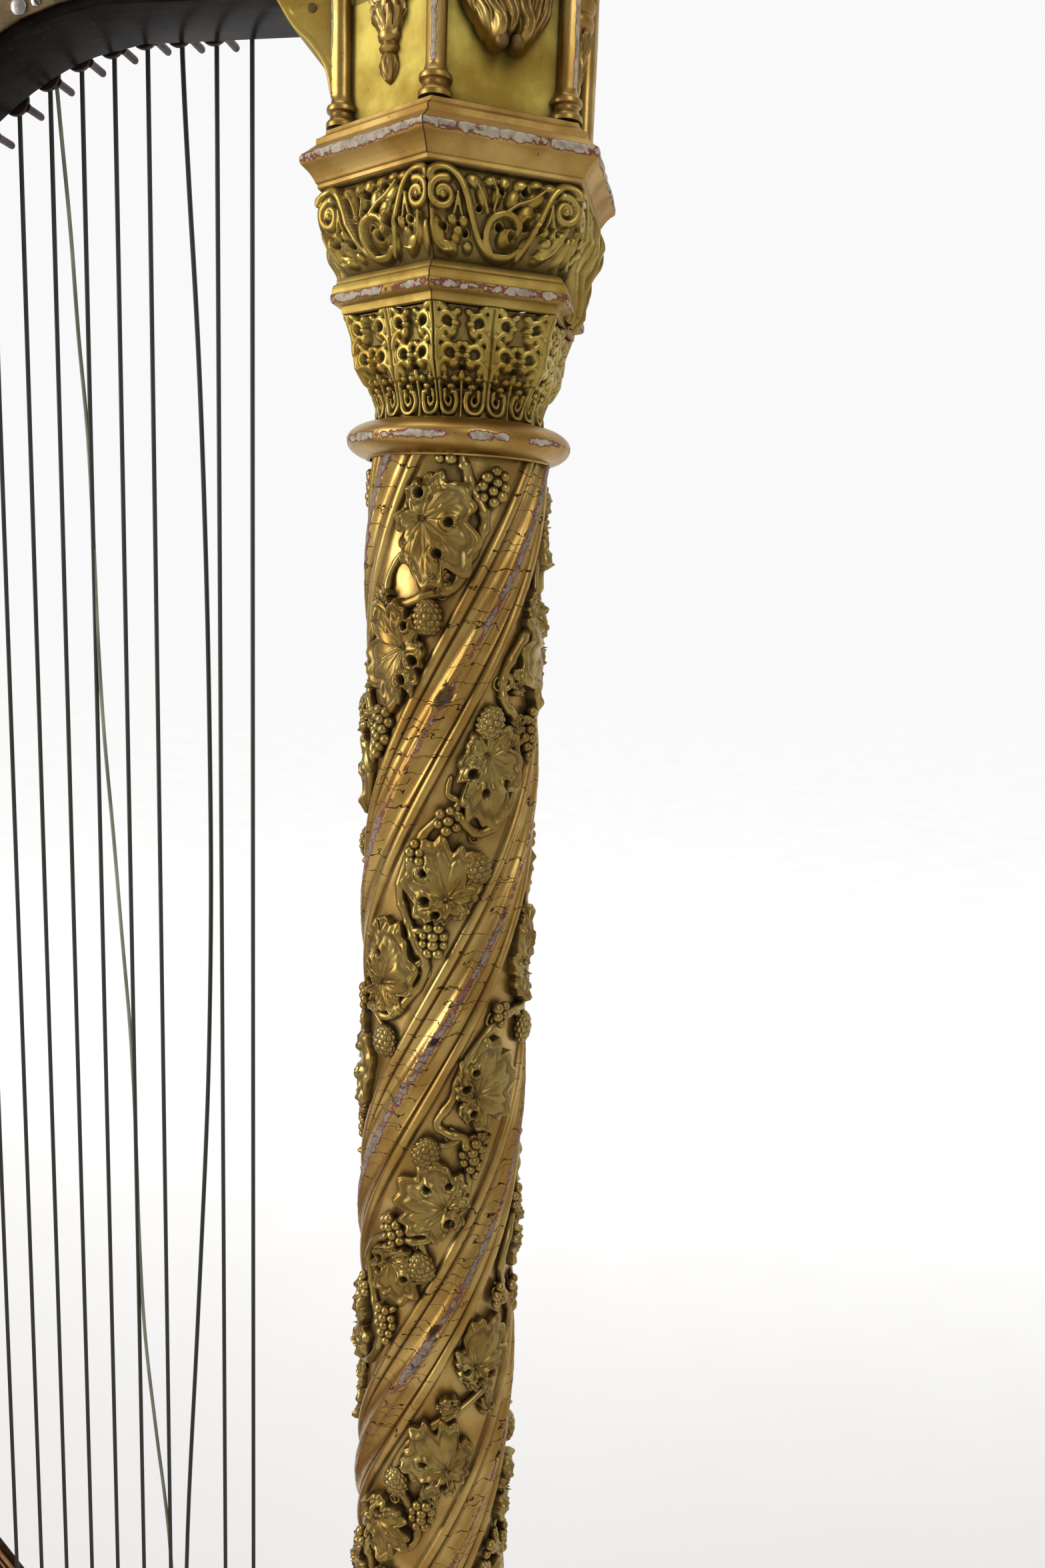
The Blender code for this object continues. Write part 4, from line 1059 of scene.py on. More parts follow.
def frieze_relief():
    """A side of the frieze: a volute at each upper corner, long stems that sweep under a curling leaf,
    and berries on forked stalks."""
    r = Relief(29.0, 29.5, 0.34, mirrored=False)
    for x, y, rx, ry, high, turn in (
            (-26.0, 7.4, 3.2, 5.6, 2.6, 12), (-21.6, 3.6, 4.2, 2.4, 2.5, -12), (-18.6, 6.2, 2.2, 2.0, 2.8, 0),
            (-12.0, 25.0, 3.6, 2.6, 2.6, -20), (-8.6, 20.6, 2.6, 4.4, 2.7, 20),
            (-5.6, 25.8, 3.2, 2.2, 2.6, 15), (-3.6, 20.6, 2.2, 3.4, 2.6, -10),
            (1.6, 8.6, 4.0, 3.2, 3.2, 35), (7.6, 16.6, 3.2, 4.6, 3.1, -38),
            (11.2, 21.6, 4.6, 2.8, 2.9, 28), (2.6, 20.6, 2.8, 4.2, 2.8, -20), (-0.6, 26.0, 2.6, 2.6, 2.6, 12),
            (5.6, 26.0, 3.2, 2.2, 2.5, 20), (11.6, 27.0, 3.0, 1.9, 2.6, 10), (16.6, 26.6, 3.0, 1.9, 2.6, 18),
            (9.6, 6.0, 2.6, 4.2, 2.4, -24), (18.8, 4.8, 4.8, 2.8, 2.6, 28), (22.8, 8.6, 2.8, 4.4, 2.6, -12),
            (26.8, 6.4, 2.2, 5.4, 2.5, -8), (13.0, 16.0, 1.8, 2.6, 2.6, 20), (-13.6, 4.2, 2.4, 2.0, 2.2, 0)):
        r.dome(x, y, rx, ry, high, turn)
    r.volute(-23.2, 19.2, 5.6, 1.9, 1.3, 75, 1.65, way=1)
    r.volute(23.6, 19.4, 5.3, 1.9, 1.3, 105, 1.6, way=-1)
    r.bead(((-28.6, 24.5), (-26.0, 27.6), (-21.6, 28.2), (-17.2, 25.2), (-14.2, 19.6), (-12.0, 12.4),
            (-8.8, 6.0), (-3.8, 2.6), (3.4, 2.4), (7.4, 4.6)), 1.55, 1.9, 0.2)
    for places, radius, base, taper in (
            (((-3.8, 2.8), (-6.4, 7.6), (-5.0, 13.0), (-0.4, 15.6), (4.2, 14.4), (5.8, 11.0), (3.6, 8.8)),
             1.45, 2.1, 0.2),
            (((28.4, 25.0), (26.6, 27.6), (22.0, 27.8), (17.4, 23.6), (13.6, 15.2), (10.4, 7.4), (8.0, 2.4)),
             1.45, 2.0, 0.2),
            (((0.4, 16.0), (4.4, 19.0), (9.6, 21.4), (14.2, 25.0)), 0.7, 3.0, 0.3),
            (((-6.6, 15.0), (-8.2, 20.0), (-11.4, 25.0)), 0.6, 2.8, 0.3),
            (((-4.4, 16.0), (-3.4, 21.6), (-5.2, 26.6)), 0.55, 2.8, 0.3)):
        r.bead(places, radius, base, taper)
    for foot in (-17.6, 18.0):
        for lean in (-2.2, 2.2):
            r.bead(((foot, 20.6), (foot + 0.4 * lean, 15.6), (foot + lean, 11.6)), 0.65, 1.7, 0.1)
        r.berries(foot, 10.4, 2.0)
    r.bead(((-27.0, 13.4), (-27.2, 6.6), (-24.4, 2.6), (-19.6, 2.8)), 0.7, 2.6, 0.3)
    r.bead(((24.4, 13.4), (22.8, 7.4), (18.8, 3.4), (14.8, 4.2)), 0.7, 2.6, 0.3)
    for x, y, size in ((3.4, 8.8, 1.3), (9.0, 13.2, 1.35), (7.8, 24.0, 1.0), (-1.6, 22.8, 0.9),
                       (-23.6, 9.6, 1.0), (20.8, 11.6, 1.0), (-1.4, 11.6, 1.0), (-9.8, 16.4, 0.8),
                       (14.0, 12.0, 0.8), (-14.8, 8.4, 0.9)):
        r.pit(x, y, size, 3.0, 0.7)
    return r


# Heights, and the radius there at the corners under the carving.
BELL_BASE = ((5.0, 35.0), (10.0, 34.8), (17.0, 37.6), (24.0, 41.6), (30.0, 42.3), (36.0, 43.4), (43.5, 46.2))
FRIEZE_BASE = ((58.2, 46.5), (62.0, 50.0), (67.0, 53.6), (73.0, 56.4), (80.0, 57.0), (84.5, 57.0),
               (87.7, 55.6))


def profile_radius(stops):
    return lambda level: np.interp(level, [s[0] for s in stops], [s[1] for s in stops])


def prism_radius(radius):
    return lambda level: np.full_like(level, radius)


def make_bell(material):
    clay = wrap_faces(Clay(), bell_relief(), profile_radius(BELL_BASE), 4.9, copies=2, tone=0.5, wear=0.12,
                      squareness=lambda z: np.clip((z - 8) / 16, 0.0, 1.0))
    clay.piece("bell_carved", material, "gilding", ["capital_bell"], sharp=0)


def make_frieze(material):
    clay = wrap_faces(Clay(), frieze_relief(), profile_radius(FRIEZE_BASE), 58.2, tone=0.45, wear=0.12)
    clay.piece("frieze_carved", material, "gilding", ["capital_frieze"], sharp=0)
    clay = Clay()
    for face in (0, 180):
        hanging_leaf(clay, face)
    clay.piece("frieze_leaves", material, "gilding", sharp=0)


def hanging_leaf(clay, face):
    """A long leaf of waving strands that bulges out of a side and hangs over the moulding below."""
    rows, columns = 90, 80
    v, u = np.meshgrid(np.linspace(0, 1, rows), np.linspace(-1, 1, columns), indexing="ij")
    wide = 15.5 * np.sin(np.pi * np.clip(0.10 + 0.84 * v, 0, 1)) ** 0.6
    x = u * wide + 1.2 * np.sin(7 * v) * (1 - u**2)
    z = 46.0 + 41.0 * v - 3.0 * (1 - u**2) * (1 - v)
    swell = 10.0 * np.sin(np.pi * (0.16 + 0.74 * v)) ** 0.9
    body = swell * np.sqrt(np.clip(1 - u**2, 0, 1)) ** 0.8
    strand = np.sin(u * 15 + 2.4 * np.sin(5.2 * v + u) + 3 * v)
    body += 1.0 * strand * (1 - u**4) - 0.9 * (1 - np.abs(strand)) ** 3 + 0.5 * np.sin(19 * v + 6 * u)
    ground = profile_radius(((44, 48.5), (47, 50.5), (56, 49.0), *FRIEZE_BASE[1:]))(z)
    out = ground * math.cos(math.pi / 6) - 1.5 + body
    # Darker in the strands' grooves and all along the edges: painted shade.
    grime = np.clip(0.75 * (1 - np.abs(strand)) ** 2 + (np.abs(u) > 0.96), 0, 1)
    points = facing(face, out, x, z).reshape(-1, 3)
    clay.add(at_ring(points), grid_faces(rows, columns), grime=grime.ravel(), tone=0.45, wear=0.1)


# ---------------------------------------------------------------- the harp's lines, in metres

STRING_COUNT = 46
FIRST_STRING_X, FIRST_STRING_Z = -0.1007, 0.194
WIDEST_STRING_GAP, NARROWEST_STRING_GAP = 0.0161, 0.0111
BOARD_SLOPE = 1.57
BASE_TOP, BOARD_TOP = 0.1403, 1.205
SEMITONE = 2 ** (1 / 12)
TUNING_TAIL = 0.045
PLATE_FACE = 0.0200
STRING_STAND_OFF = 0.024
NOTE_ORDER = ("d", "e", "f", "g", "a", "b", "c")

NECK_UNDERSIDE = flowing(
    ((-0.147, 1.4615), (-0.178, 1.4545), (-0.212, 1.4360), (-0.255, 1.4000), (-0.305, 1.3450),
     (-0.365, 1.2880), (-0.435, 1.2370), (-0.510, 1.2020), (-0.585, 1.1900), (-0.650, 1.2020),
     (-0.713, 1.2400), (-0.742, 1.2623)), 6)
NECK_BACK = flowing(
    ((-0.062, 1.7080), (-0.130, 1.7080), (-0.200, 1.6640), (-0.265, 1.5850), (-0.335, 1.4950),
     (-0.415, 1.4080), (-0.500, 1.3450), (-0.590, 1.3120), (-0.670, 1.3160), (-0.740, 1.3350),
     (-0.790, 1.3220), (-0.814, 1.2900)), 6)


def string_x(index):
    """Gaps narrow evenly from the bass to the treble."""
    shrink = (WIDEST_STRING_GAP - NARROWEST_STRING_GAP) / (STRING_COUNT - 2)
    return FIRST_STRING_X - index * WIDEST_STRING_GAP + shrink * index * (index - 1) / 2


def board_z(x):
    return FIRST_STRING_Z + (FIRST_STRING_X - x) * BOARD_SLOPE


def board_x(z, behind=0.0):
    """Where the strip's face is at a height, or a place this far behind it."""
    back = behind * math.hypot(1, BOARD_SLOPE) / BOARD_SLOPE
    return FIRST_STRING_X - (z - FIRST_STRING_Z) / BOARD_SLOPE - back


def board_half_width(z):
    """The board narrows evenly upwards."""
    foot, widest, narrowest = 0.140, 0.165, 0.055
    return widest + (z - foot) / (BOARD_TOP - foot) * (narrowest - widest)


def underside_z(x):
    order = NECK_UNDERSIDE[::-1]
    return float(np.interp(x, order[:, 0], order[:, 1]))


def string_levels(index):
    """Heights at the soundboard, the sharp disc, the natural disc and the bridge pin."""
    x = string_x(index)
    foot = board_z(x)
    sharp = underside_z(x) + 0.007
    length = (sharp - foot) * SEMITONE**2
    return foot, sharp, foot + length / SEMITONE, foot + length


def string_y(index, z):
    foot, sharp, _, _ = string_levels(index)
    return STRING_STAND_OFF * (z - foot) / (sharp - foot)


def turned_y(profile, count=24, x=0.0, z=0.0):
    """A round shape about an axis along Y, from (radius, y) stops."""
    angle = np.arange(count) * 2 * math.pi / count
    c, s = np.cos(angle), np.sin(angle)
    rows = [np.stack((x + r * c, np.full(count, y), z + r * s), -1) for r, y in profile]
    return np.concatenate(rows), capped_faces(len(rows), count)


def turned_z(profile, count, lobes, lobe_depth, x=0.0, y=0.0):
    """A gadrooned shape about an upright axis, from stops of radius, z and how deep the lobes are."""
    angle = np.arange(count) * 2 * math.pi / count
    rows = []
    for r, z, share in profile:
        reach = r * (1 - lobe_depth * share * (1 - np.abs(np.cos(angle * lobes / 2))))
        rows.append(np.stack((x + reach * np.cos(angle), y + reach * np.sin(angle), np.full(count, z)), -1))
    return np.concatenate(rows), capped_faces(len(rows), count)


def inset_outline(outline, inset):
    """A closed (x, z) outline moved inwards, corner by corner."""
    spots = np.asarray(outline, float)
    after = np.roll(spots, -1, 0)
    along = after - spots
    area = np.sum(spots[:, 0] * after[:, 1] - after[:, 0] * spots[:, 1])
    side = np.stack((along[:, 1], -along[:, 0]), -1) / (np.linalg.norm(along, axis=1)[:, None] + 1e-12)
    side *= math.copysign(1, area)
    mean = side + np.roll(side, 1, 0)
    mean /= np.linalg.norm(mean, axis=1)[:, None]
    reach = 1 / np.clip((mean * side).sum(1), 0.5, 1)
    return spots - inset * mean * reach[:, None]


def slab(clay, outline, y0, y1, edge, steps=3):
    """An (x, z) outline given a thickness along Y, with rounded edges."""
    turn = np.radians(np.linspace(0, 90, steps))
    stops = [(edge * (1 - math.sin(a)), y0 + edge * (1 - math.cos(a))) for a in turn]
    stops += [(edge * (1 - math.sin(a)), y1 - edge * (1 - math.cos(a))) for a in turn[::-1]]
    rows = []
    for inset, y in stops:
        flat = inset_outline(outline, inset)
        rows.append(np.stack((flat[:, 0], np.full(len(flat), y), flat[:, 1]), -1))
    return clay.add(from_axis(np.concatenate(rows)), capped_faces(len(rows), len(outline)))


# ---------------------------------------------------------------- neck, plates, pins and discs


NECK_HALF_THICK = 0.0172
NECK_TOP_CORNER = 1.4578
TOWER_WALL_TOP = 1.598


def make_neck(wood, gilt):
    """Dark lacquered, with a broad and a fine gilt line inside its upper edge on both faces."""
    front, behind_gallery = -0.0425, -0.0600
    outline = [(front, NECK_TOP_CORNER), (-0.0700, NECK_TOP_CORNER), (-0.0760, 1.4615), *NECK_UNDERSIDE,
               (-0.814, 1.2623), *NECK_BACK[::-1], (behind_gallery, 1.706),
               (behind_gallery, TOWER_WALL_TOP), (front, TOWER_WALL_TOP)]
    clay = slab(Clay(), outline, -NECK_HALF_THICK, NECK_HALF_THICK, 0.0009, 4)
    clay.piece("neck_lacquered", wood, "neck_wood", ["neck"], outward=True)
    lines = Clay()
    for side in (-1, 1):
        for inset, radius, sides in ((0.0065, 0.0008, 8), (0.0100, 0.0004, 6)):
            upper = inset_outline(outline, inset)[len(NECK_UNDERSIDE) + 5:-4]
            path = [(x, side * NECK_HALF_THICK, z) for x, z in upper]
            lines.add(*shifted(tube(path, radius, sides)))
    lines.piece("neck_gilt_lines", gilt, "gilding", outward=True)


TOWER_BACK = -0.0440
CORBEL_TOP = 1.4575
CORBEL_HALF_THICK = 0.0225


def make_corbel(gilt):
    """An ogee bracket between the tower and the neck, with a raised panel and a screw on each cheek."""
    ogee = flowing(((-0.0710, CORBEL_TOP), (-0.0645, 1.4480), (-0.0578, 1.4418), (-0.0520, 1.4340),
                    (-0.0496, 1.4250), (-0.0482, 1.4190)), 8)
    across = np.array((0, 0.25, 0.6, 1.2, 2.2, 3.0, 3.4, 3.8, 4.4, 7, 10, 13, 17, 21, 26)) * MM
    rows = []
    for x, z in ogee:
        reach = np.minimum(across, TOWER_BACK - x)
        below_neck = (CORBEL_TOP - z) / MM
        border = reach / MM
        raised = 0.9 * np.clip((border - 3.0) / 0.8, 0, 1) * np.clip((below_neck - 4.0) / 0.8, 0, 1)
        line = np.exp(-((border - 6.2) / 0.35) ** 2) + np.exp(-((below_neck - 7.0) / 0.35) ** 2)
        line = line * (border > 5.4) * (below_neck > 6.2)
        edge = 1.0 - np.sqrt(np.clip(1 - (1 - np.clip(border, 0, 1)) ** 2, 0, 1))
        y = CORBEL_HALF_THICK + (raised - 0.5 * line - edge) * MM
        cheek = np.stack((x + reach, y, np.full(len(across), z)), -1)
        rows.append(np.concatenate((cheek[::-1], cheek * (1, -1, 1))))
    rows = np.array(rows)
    faces = grid_faces(len(rows), rows.shape[1])
    clay = Clay().add(from_axis(rows.reshape(-1, 3)), faces, tone=0.55, wear=0.05)
    for side in (-1, 1):
        head = [(0.0017, side * 0.0226), (0.0017, side * 0.0236), (0.0012, side * 0.0238)]
        clay.add(*shifted(turned_y(head, 16, -0.0560, 1.4535)), grime=0.9)
    clay.piece("corbel_gilt", gilt, "gilding", ["neck_corbel"], outward=True)


def slotted_screw(clay, x, y, z, side, radius=0.0024, turn=0.0):
    """A round-headed screw whose slot is cut into the head."""
    rows, columns = 9, 24
    share = np.linspace(0, 1, rows)[:, None]
    angle = np.arange(columns) * 2 * math.pi / columns
    across, up = radius * share * np.cos(angle), radius * share * np.sin(angle)
    slot = np.abs(across * math.sin(turn) - up * math.cos(turn)) < 0.00042
    high = np.where(slot, 0.0001, 0.0008 * np.sqrt(np.clip(1 - 0.8 * share**2, 0, 1)))
    high[-1] = -0.0004
    points = np.stack((x + across, y + side * high, z + up), -1).reshape(-1, 3)
    # The slot is darkened: painted shade.
    clay.add(from_axis(points), grid_faces(rows, columns, closed=True), grime=0.9 * slot.ravel())


def plate_outline():
    """From just above the neck's lower edge to just above the bridge pins."""
    stations = [-0.0830, *[string_x(n) for n in range(1, STRING_COUNT)], -0.7300]
    pins = np.array([(string_x(n), string_levels(n)[3] + 0.014) for n in range(STRING_COUNT)])[::-1]
    lower = [(x, underside_z(x) + 0.0034) for x in stations]
    upper = [(x, float(np.interp(x, pins[:, 0], pins[:, 1]))) for x in stations]
    return lower + upper[::-1]


DISC_RADIUS = 0.0068
PRONG_OFFSET = 0.0056
PRONG_RADIUS = 0.0017
PRONG_LENGTH = 0.0115
PRONG_TURN = math.radians(60)


def disc_size(index):
    """Discs shrink where a semitone is short or the strings are close."""
    _, sharp, natural, _ = string_levels(index)
    gap = string_x(index) - string_x(min(index + 1, STRING_COUNT - 1))
    return min(DISC_RADIUS, 0.46 * (natural - sharp), 0.44 * gap if index < STRING_COUNT - 1 else 0.0048)


def fork_disc(clay, x, z, radius):
    """A turned disc on its screw, with two round-ended prongs that stand either side of the string."""
    y = PLATE_FACE + 0.0003
    rim = [(radius - 0.0004, y), (radius, y + 0.0004), (radius, y + 0.0014), (radius - 0.0005, y + 0.0019),
           (radius * 0.80, y + 0.0021), (radius * 0.76, y + 0.0018), (radius * 0.42, y + 0.0018),
           (radius * 0.40, y + 0.0026), (radius * 0.30, y + 0.0031)]
    clay.add(*shifted(turned_y(rim, 32, x, z)))
    slotted_screw(clay, x, y + 0.0026, z, 1, radius * 0.34, 0.7)
    scale = radius / DISC_RADIUS
    for side in (-1, 1):
        px = x + side * PRONG_OFFSET * scale * math.sin(PRONG_TURN)
        pz = z - side * PRONG_OFFSET * scale * math.cos(PRONG_TURN)
        r = PRONG_RADIUS * scale**0.8
        tip = y + 0.0022 + PRONG_LENGTH
        prong = [(r * 1.25, y + 0.0012), (r * 1.2, y + 0.0024), (r, y + 0.0034)]
        prong += [(r * math.cos(a), tip - r + r * math.sin(a)) for a in np.radians((0, 25, 50, 72, 88))]
        clay.add(*shifted(turned_y(prong, 16, px, pz)))


# A disc's spindle where it ends on the far plate: share of its radius, and rise.
SPINDLE_END = ((1, 0.0), (1, 0.0008), (0.8, 0.0012), (0.3, 0.0013))


def bridge_pin(y):
    """A grooved pin as (radius, y) stops; the string lies in its groove at y."""
    return [(0.0026, PLATE_FACE - 0.0005), (0.0026, PLATE_FACE + 0.0006), (0.0017, PLATE_FACE + 0.0012),
            (0.0017, y - 0.0010), (0.0013, y), (0.0017, y + 0.0010), (0.0024, y + 0.0018),
            (0.0024, y + 0.0030), (0.0016, y + 0.0038)]


def tuning_pin(y):
    """A tapered pin through the neck as (radius, y) stops; the string winds on it near y."""
    return [(0.0018, -0.0345), (0.0022, -0.0335), (0.0025, -0.0240), (0.0027, -NECK_HALF_THICK),
            (0.0024, NECK_HALF_THICK), (0.0024, y + 0.0055), (0.0018, y + 0.0062)]


def make_plates(brass):
    outline = plate_outline()
    for name, side in (("left", 1), ("right", -1)):
        ends = sorted((side * 0.0175, side * PLATE_FACE))
        clay = slab(Clay(), outline, *ends, 0.0006)
        clay.piece(f"plate_{name}", brass, "action_brass", [f"action_plate_{name}"], outward=True)


def make_plate_screws(steel):
    """Screws along both edges of the plates, and the ends of the discs' spindles on the right one."""
    screws = {1: Clay(), -1: Clay()}
    for side, clay in screws.items():
        for index in range(0, STRING_COUNT, 5):
            x = string_x(index) + 0.0075
            low, high = underside_z(x) + 0.0060, string_levels(index)[3] + 0.0085
            slotted_screw(clay, x, side * PLATE_FACE, low, side, 0.0023, 0.4 + index)
            slotted_screw(clay, x, side * PLATE_FACE, high, side, 0.0023, 1.9 + index)
    for index in range(1, STRING_COUNT):
        x = string_x(index)
        _, sharp, natural, _ = string_levels(index)
        size = 0.5 * disc_size(index)
        head = [(size * share, -PLATE_FACE - rise) for share, rise in SPINDLE_END]
        for z in (sharp, natural):
            screws[-1].add(*shifted(turned_y(head, 16, x, z)))
    for side, name in ((1, "left"), (-1, "right")):
        screws[side].piece(f"plate_screws_{name}", steel, "rod_steel", outward=True)


def make_discs(disc_metal):
    """The lowest octave's discs each turn on their own; the others are one piece."""
    rest = Clay()
    for index in range(1, STRING_COUNT):
        x = string_x(index)
        _, sharp, natural, _ = string_levels(index)
        for kind, z in (("natural", natural), ("sharp", sharp)):
            if index <= len(NOTE_ORDER):
                name = f"{kind}_disc_{NOTE_ORDER[index - 1]}"
                clay = Clay()
                fork_disc(clay, x, z, disc_size(index))
                clay.piece(f"{name}_turned", disc_metal, "disc_brass", [name], body=name, outward=True)
            else:
                fork_disc(rest, x, z, disc_size(index))
    rest.piece("discs_of_upper_octaves", disc_metal, "disc_brass", outward=True)


def make_pins(brass, steel):
    """Each string bears on a bridge pin and is wound on a tuning pin."""
    bridge, tuning = Clay(), Clay()
    for index in range(STRING_COUNT):
        x = string_x(index)
        pin = string_levels(index)[3]
        r = string_radius(index)
        bridge.add(*shifted(turned_y(bridge_pin(string_y(index, pin)), 16, x + 0.0013 + r, pin)))
        top = pin + TUNING_TAIL
        tuning.add(*shifted(turned_y(tuning_pin(string_y(index, top)), 14, x - 0.0024 - r, top)))
    bridge.piece("bridge_pins", brass, "action_brass", outward=True)
    tuning.piece("tuning_pins", steel, "rod_steel", outward=True)


# ---------------------------------------------------------------- strings


def string_radius(index):
    """Covered strings in the bass, then gut that thins towards the treble."""
    return 0.00108 - 0.00001 * index if index < 12 else float(np.interp(index, (12, 45), (0.00090, 0.00036)))


SLACK_INDEX = 2
# The slack string bows towards the column, and the loose one leans towards it as it comes down:
# (x, z) about the axis at the ring, in millimetres.
SLACK_STRING = ((-132.8, 240.0), (-132.8, 178.0), (-132.2, 150.0), (-130.0, 105.0), (-127.2, 55.0),
                (-125.1, 3.0), (-123.3, -66.0), (-122.4, -134.0), (-122.2, -207.0), (-123.4, -275.0),
                (-125.7, -339.0), (-131.8, -453.0), (-138.6, -575.0), (-141.5, -690.0), (-141.8, -800.0),
                (-139.6, -900.0), (-136.2, -990.0))
LOOSE_STRING = ((-192.3, 149.4), (-190.7, 130.0), (-187.4, 88.8), (-185.0, 46.0), (-181.6, 2.0),
                (-180.0, -45.0), (-179.0, -90.0), (-177.0, -137.0), (-173.3, -187.0), (-170.0, -237.0),
                (-166.4, -290.0), (-164.6, -344.0), (-163.8, -400.0), (-161.6, -458.0), (-156.0, -517.0),
                (-149.7, -578.0), (-145.0, -670.0), (-142.4, -770.0), (-141.2, -870.0), (-140.8, -960.0))


def free_string(name, places, foot, head, radius, material):
    """A string that hangs slack between its knot in the centre strip and its hold at the neck."""
    spots = [(x * MM, string_y(SLACK_INDEX, RING_Z + z * MM), RING_Z + z * MM) for x, z in places]
    path = flowing([head, *spots, foot], 5)[::-1]
    points, faces = tube(path, radius, 8)
    clay = Clay().add(from_axis(points), faces)
    obj = clay.piece(name, material, "string_gut", outward=True)


def tight_string(index):
    """Up from its knot past the discs and over the bridge pin, then wound on the tuning pin."""
    x, r = string_x(index), string_radius(index)
    foot, _, _, pin = string_levels(index)
    top = pin + TUNING_TAIL
    path = [(x, 0.0, foot - 0.006), (x, 0.0, foot)]
    path += [(x, string_y(index, z), z) for z in np.linspace(foot, pin, 8)[1:]]
    y = string_y(index, top)
    path.append((x, y, top))
    reach = 0.0024 + r
    for n in range(1, 40):
        turn = n * math.radians(24)
        pitch = n * 2 * r * 24 / 360
        path.append((x - reach + reach * math.cos(turn), y - pitch, top + reach * math.sin(turn)))
    return shifted(tube(path, r, 8))


def make_strings(dark, red, pale, gut):
    groups = {"strings_bass": (Clay(), dark), "strings_c": (Clay(), red), "strings_gut": (Clay(), gut)}
    for index in range(STRING_COUNT):
        if index == SLACK_INDEX:
            continue
        name = "strings_bass" if index < 12 else "strings_c" if index % 7 == 0 else "strings_gut"
        groups[name][0].add(*tight_string(index))
    pieces = [clay.piece(name, material, "string_gut", outward=True)
              for name, (clay, material) in groups.items()]
    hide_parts("string_band")
    x, r = string_x(SLACK_INDEX), string_radius(SLACK_INDEX)
    foot, _, _, pin = string_levels(SLACK_INDEX)
    top = pin + TUNING_TAIL
    head = (x, string_y(SLACK_INDEX, top), top)
    free_string("string_slack", SLACK_STRING, (x, 0.0, foot - 0.0005), head, r, dark)
    loose_x = -0.1408
    hold_x, hold = string_x(6), string_levels(6)[1]
    free_string("string_loose", LOOSE_STRING, (loose_x, 0.0, board_z(loose_x) - 0.0005),
                (hold_x + 0.0012, 0.0245, hold + 0.004), 0.0009, pale)


# ---------------------------------------------------------------- soundboard and its strip

UP_BOARD = np.array((-1, 0, BOARD_SLOPE)) / math.hypot(1, BOARD_SLOPE)
OUT_OF_BOARD = np.array((BOARD_SLOPE, 0, 1)) / math.hypot(1, BOARD_SLOPE)


def on_board(z, y, out=0.0):
    """A place on the strip's face, and then out from it."""
    return np.array((board_x(z), y, z)) + out * OUT_OF_BOARD


def make_board(spruce, dark_wood, brass):
    """The board, its centre strip with an eyelet for each string, and a beading along both edges."""
    rows = []
    for z in np.linspace(BASE_TOP + 0.012, BOARD_TOP - 0.006, 40):
        w = 0.004 + 0.05 * board_half_width(z)
        half = ((w, -0.0025), (w, -0.0008), (w - 0.0012, 0.0))
        section = (*half, *[(-y, out) for y, out in half[::-1]])
        rows += [on_board(z, y, out) for y, out in section]
    strip = Clay().add(from_axis(rows), capped_faces(40, 6))
    strip.piece("centre_strip", dark_wood, "neck_wood", outward=True)
    eyelets = Clay()
    turn = np.linspace(0, 2 * math.pi, 17)
    circle = np.outer(np.cos(turn), UP_BOARD) + np.outer(np.sin(turn), (0, 1, 0))
    for index in range(STRING_COUNT):
        r = 0.0015 + 1.2 * string_radius(index)
        ring = on_board(string_levels(index)[0], 0) + r * circle
        eyelets.add(*shifted(tube(ring, 0.0007, 6, closed_ends=False)))
    eyelets.piece("eyelets", brass, "action_brass")
    beading = Clay()
    beads = ((0.0015, 0.0022, -0.0021), (0.0075, 0.0007, -0.0025), (0.0105, 0.0007, -0.0025))
    for side in (-1, 1):
        for inset, r, out in beads:
            path = [on_board(z, side * (board_half_width(z) - inset), out)
                    for z in np.linspace(BASE_TOP + 0.003, BOARD_TOP - 0.002, 30)]
            beading.add(*shifted(tube(path, r, 10)))
    beading.piece("board_beading", dark_wood, "neck_wood", outward=True)
    dress("soundboard", spruce)


def dress(node, material):
    """A CAD node whose shape is right gets its finish."""
    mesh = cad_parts[node].data
    mesh.materials.clear()
    mesh.materials.append(material)


# ---------------------------------------------------------------- soundbox


def box_place(share, across, inset=0.0):
    """On the rounded back: a share of its height and, across, the sine of the turn from its middle."""
    z = BASE_TOP + share * (BOARD_TOP - BASE_TOP)
    start = np.array((board_x(z, 0.0081), 0, z))
    into = -OUT_OF_BOARD
    back = np.array((-1.0, 0, 0)) * (1 - share) + into * share
    back /= np.linalg.norm(back)
    width = board_half_width(z) - inset
    depth = 0.212 + share * (0.090 - 0.212) - inset
    return start + (0, width * across, 0) + back * depth * max(1 - across**2, 0) ** 0.4


def box_length():
    return float(np.linalg.norm(box_place(1, 0) - box_place(0, 0)))


def slot_outline(share, length, width, grow=0.0):
    """A slot with round ends on the box's back: (share, across) places."""
    places = []
    z = BASE_TOP + share * (BOARD_TOP - BASE_TOP)
    for a in 2 * math.pi * np.arange(48) / 48:
        along = math.cos(a) * (width / 2 + grow) + math.copysign((length - width) / 2, math.cos(a))
        side = math.sin(a) * (width / 2 + grow)
        places.append((share + along / box_length(), side / board_half_width(z)))
    return places


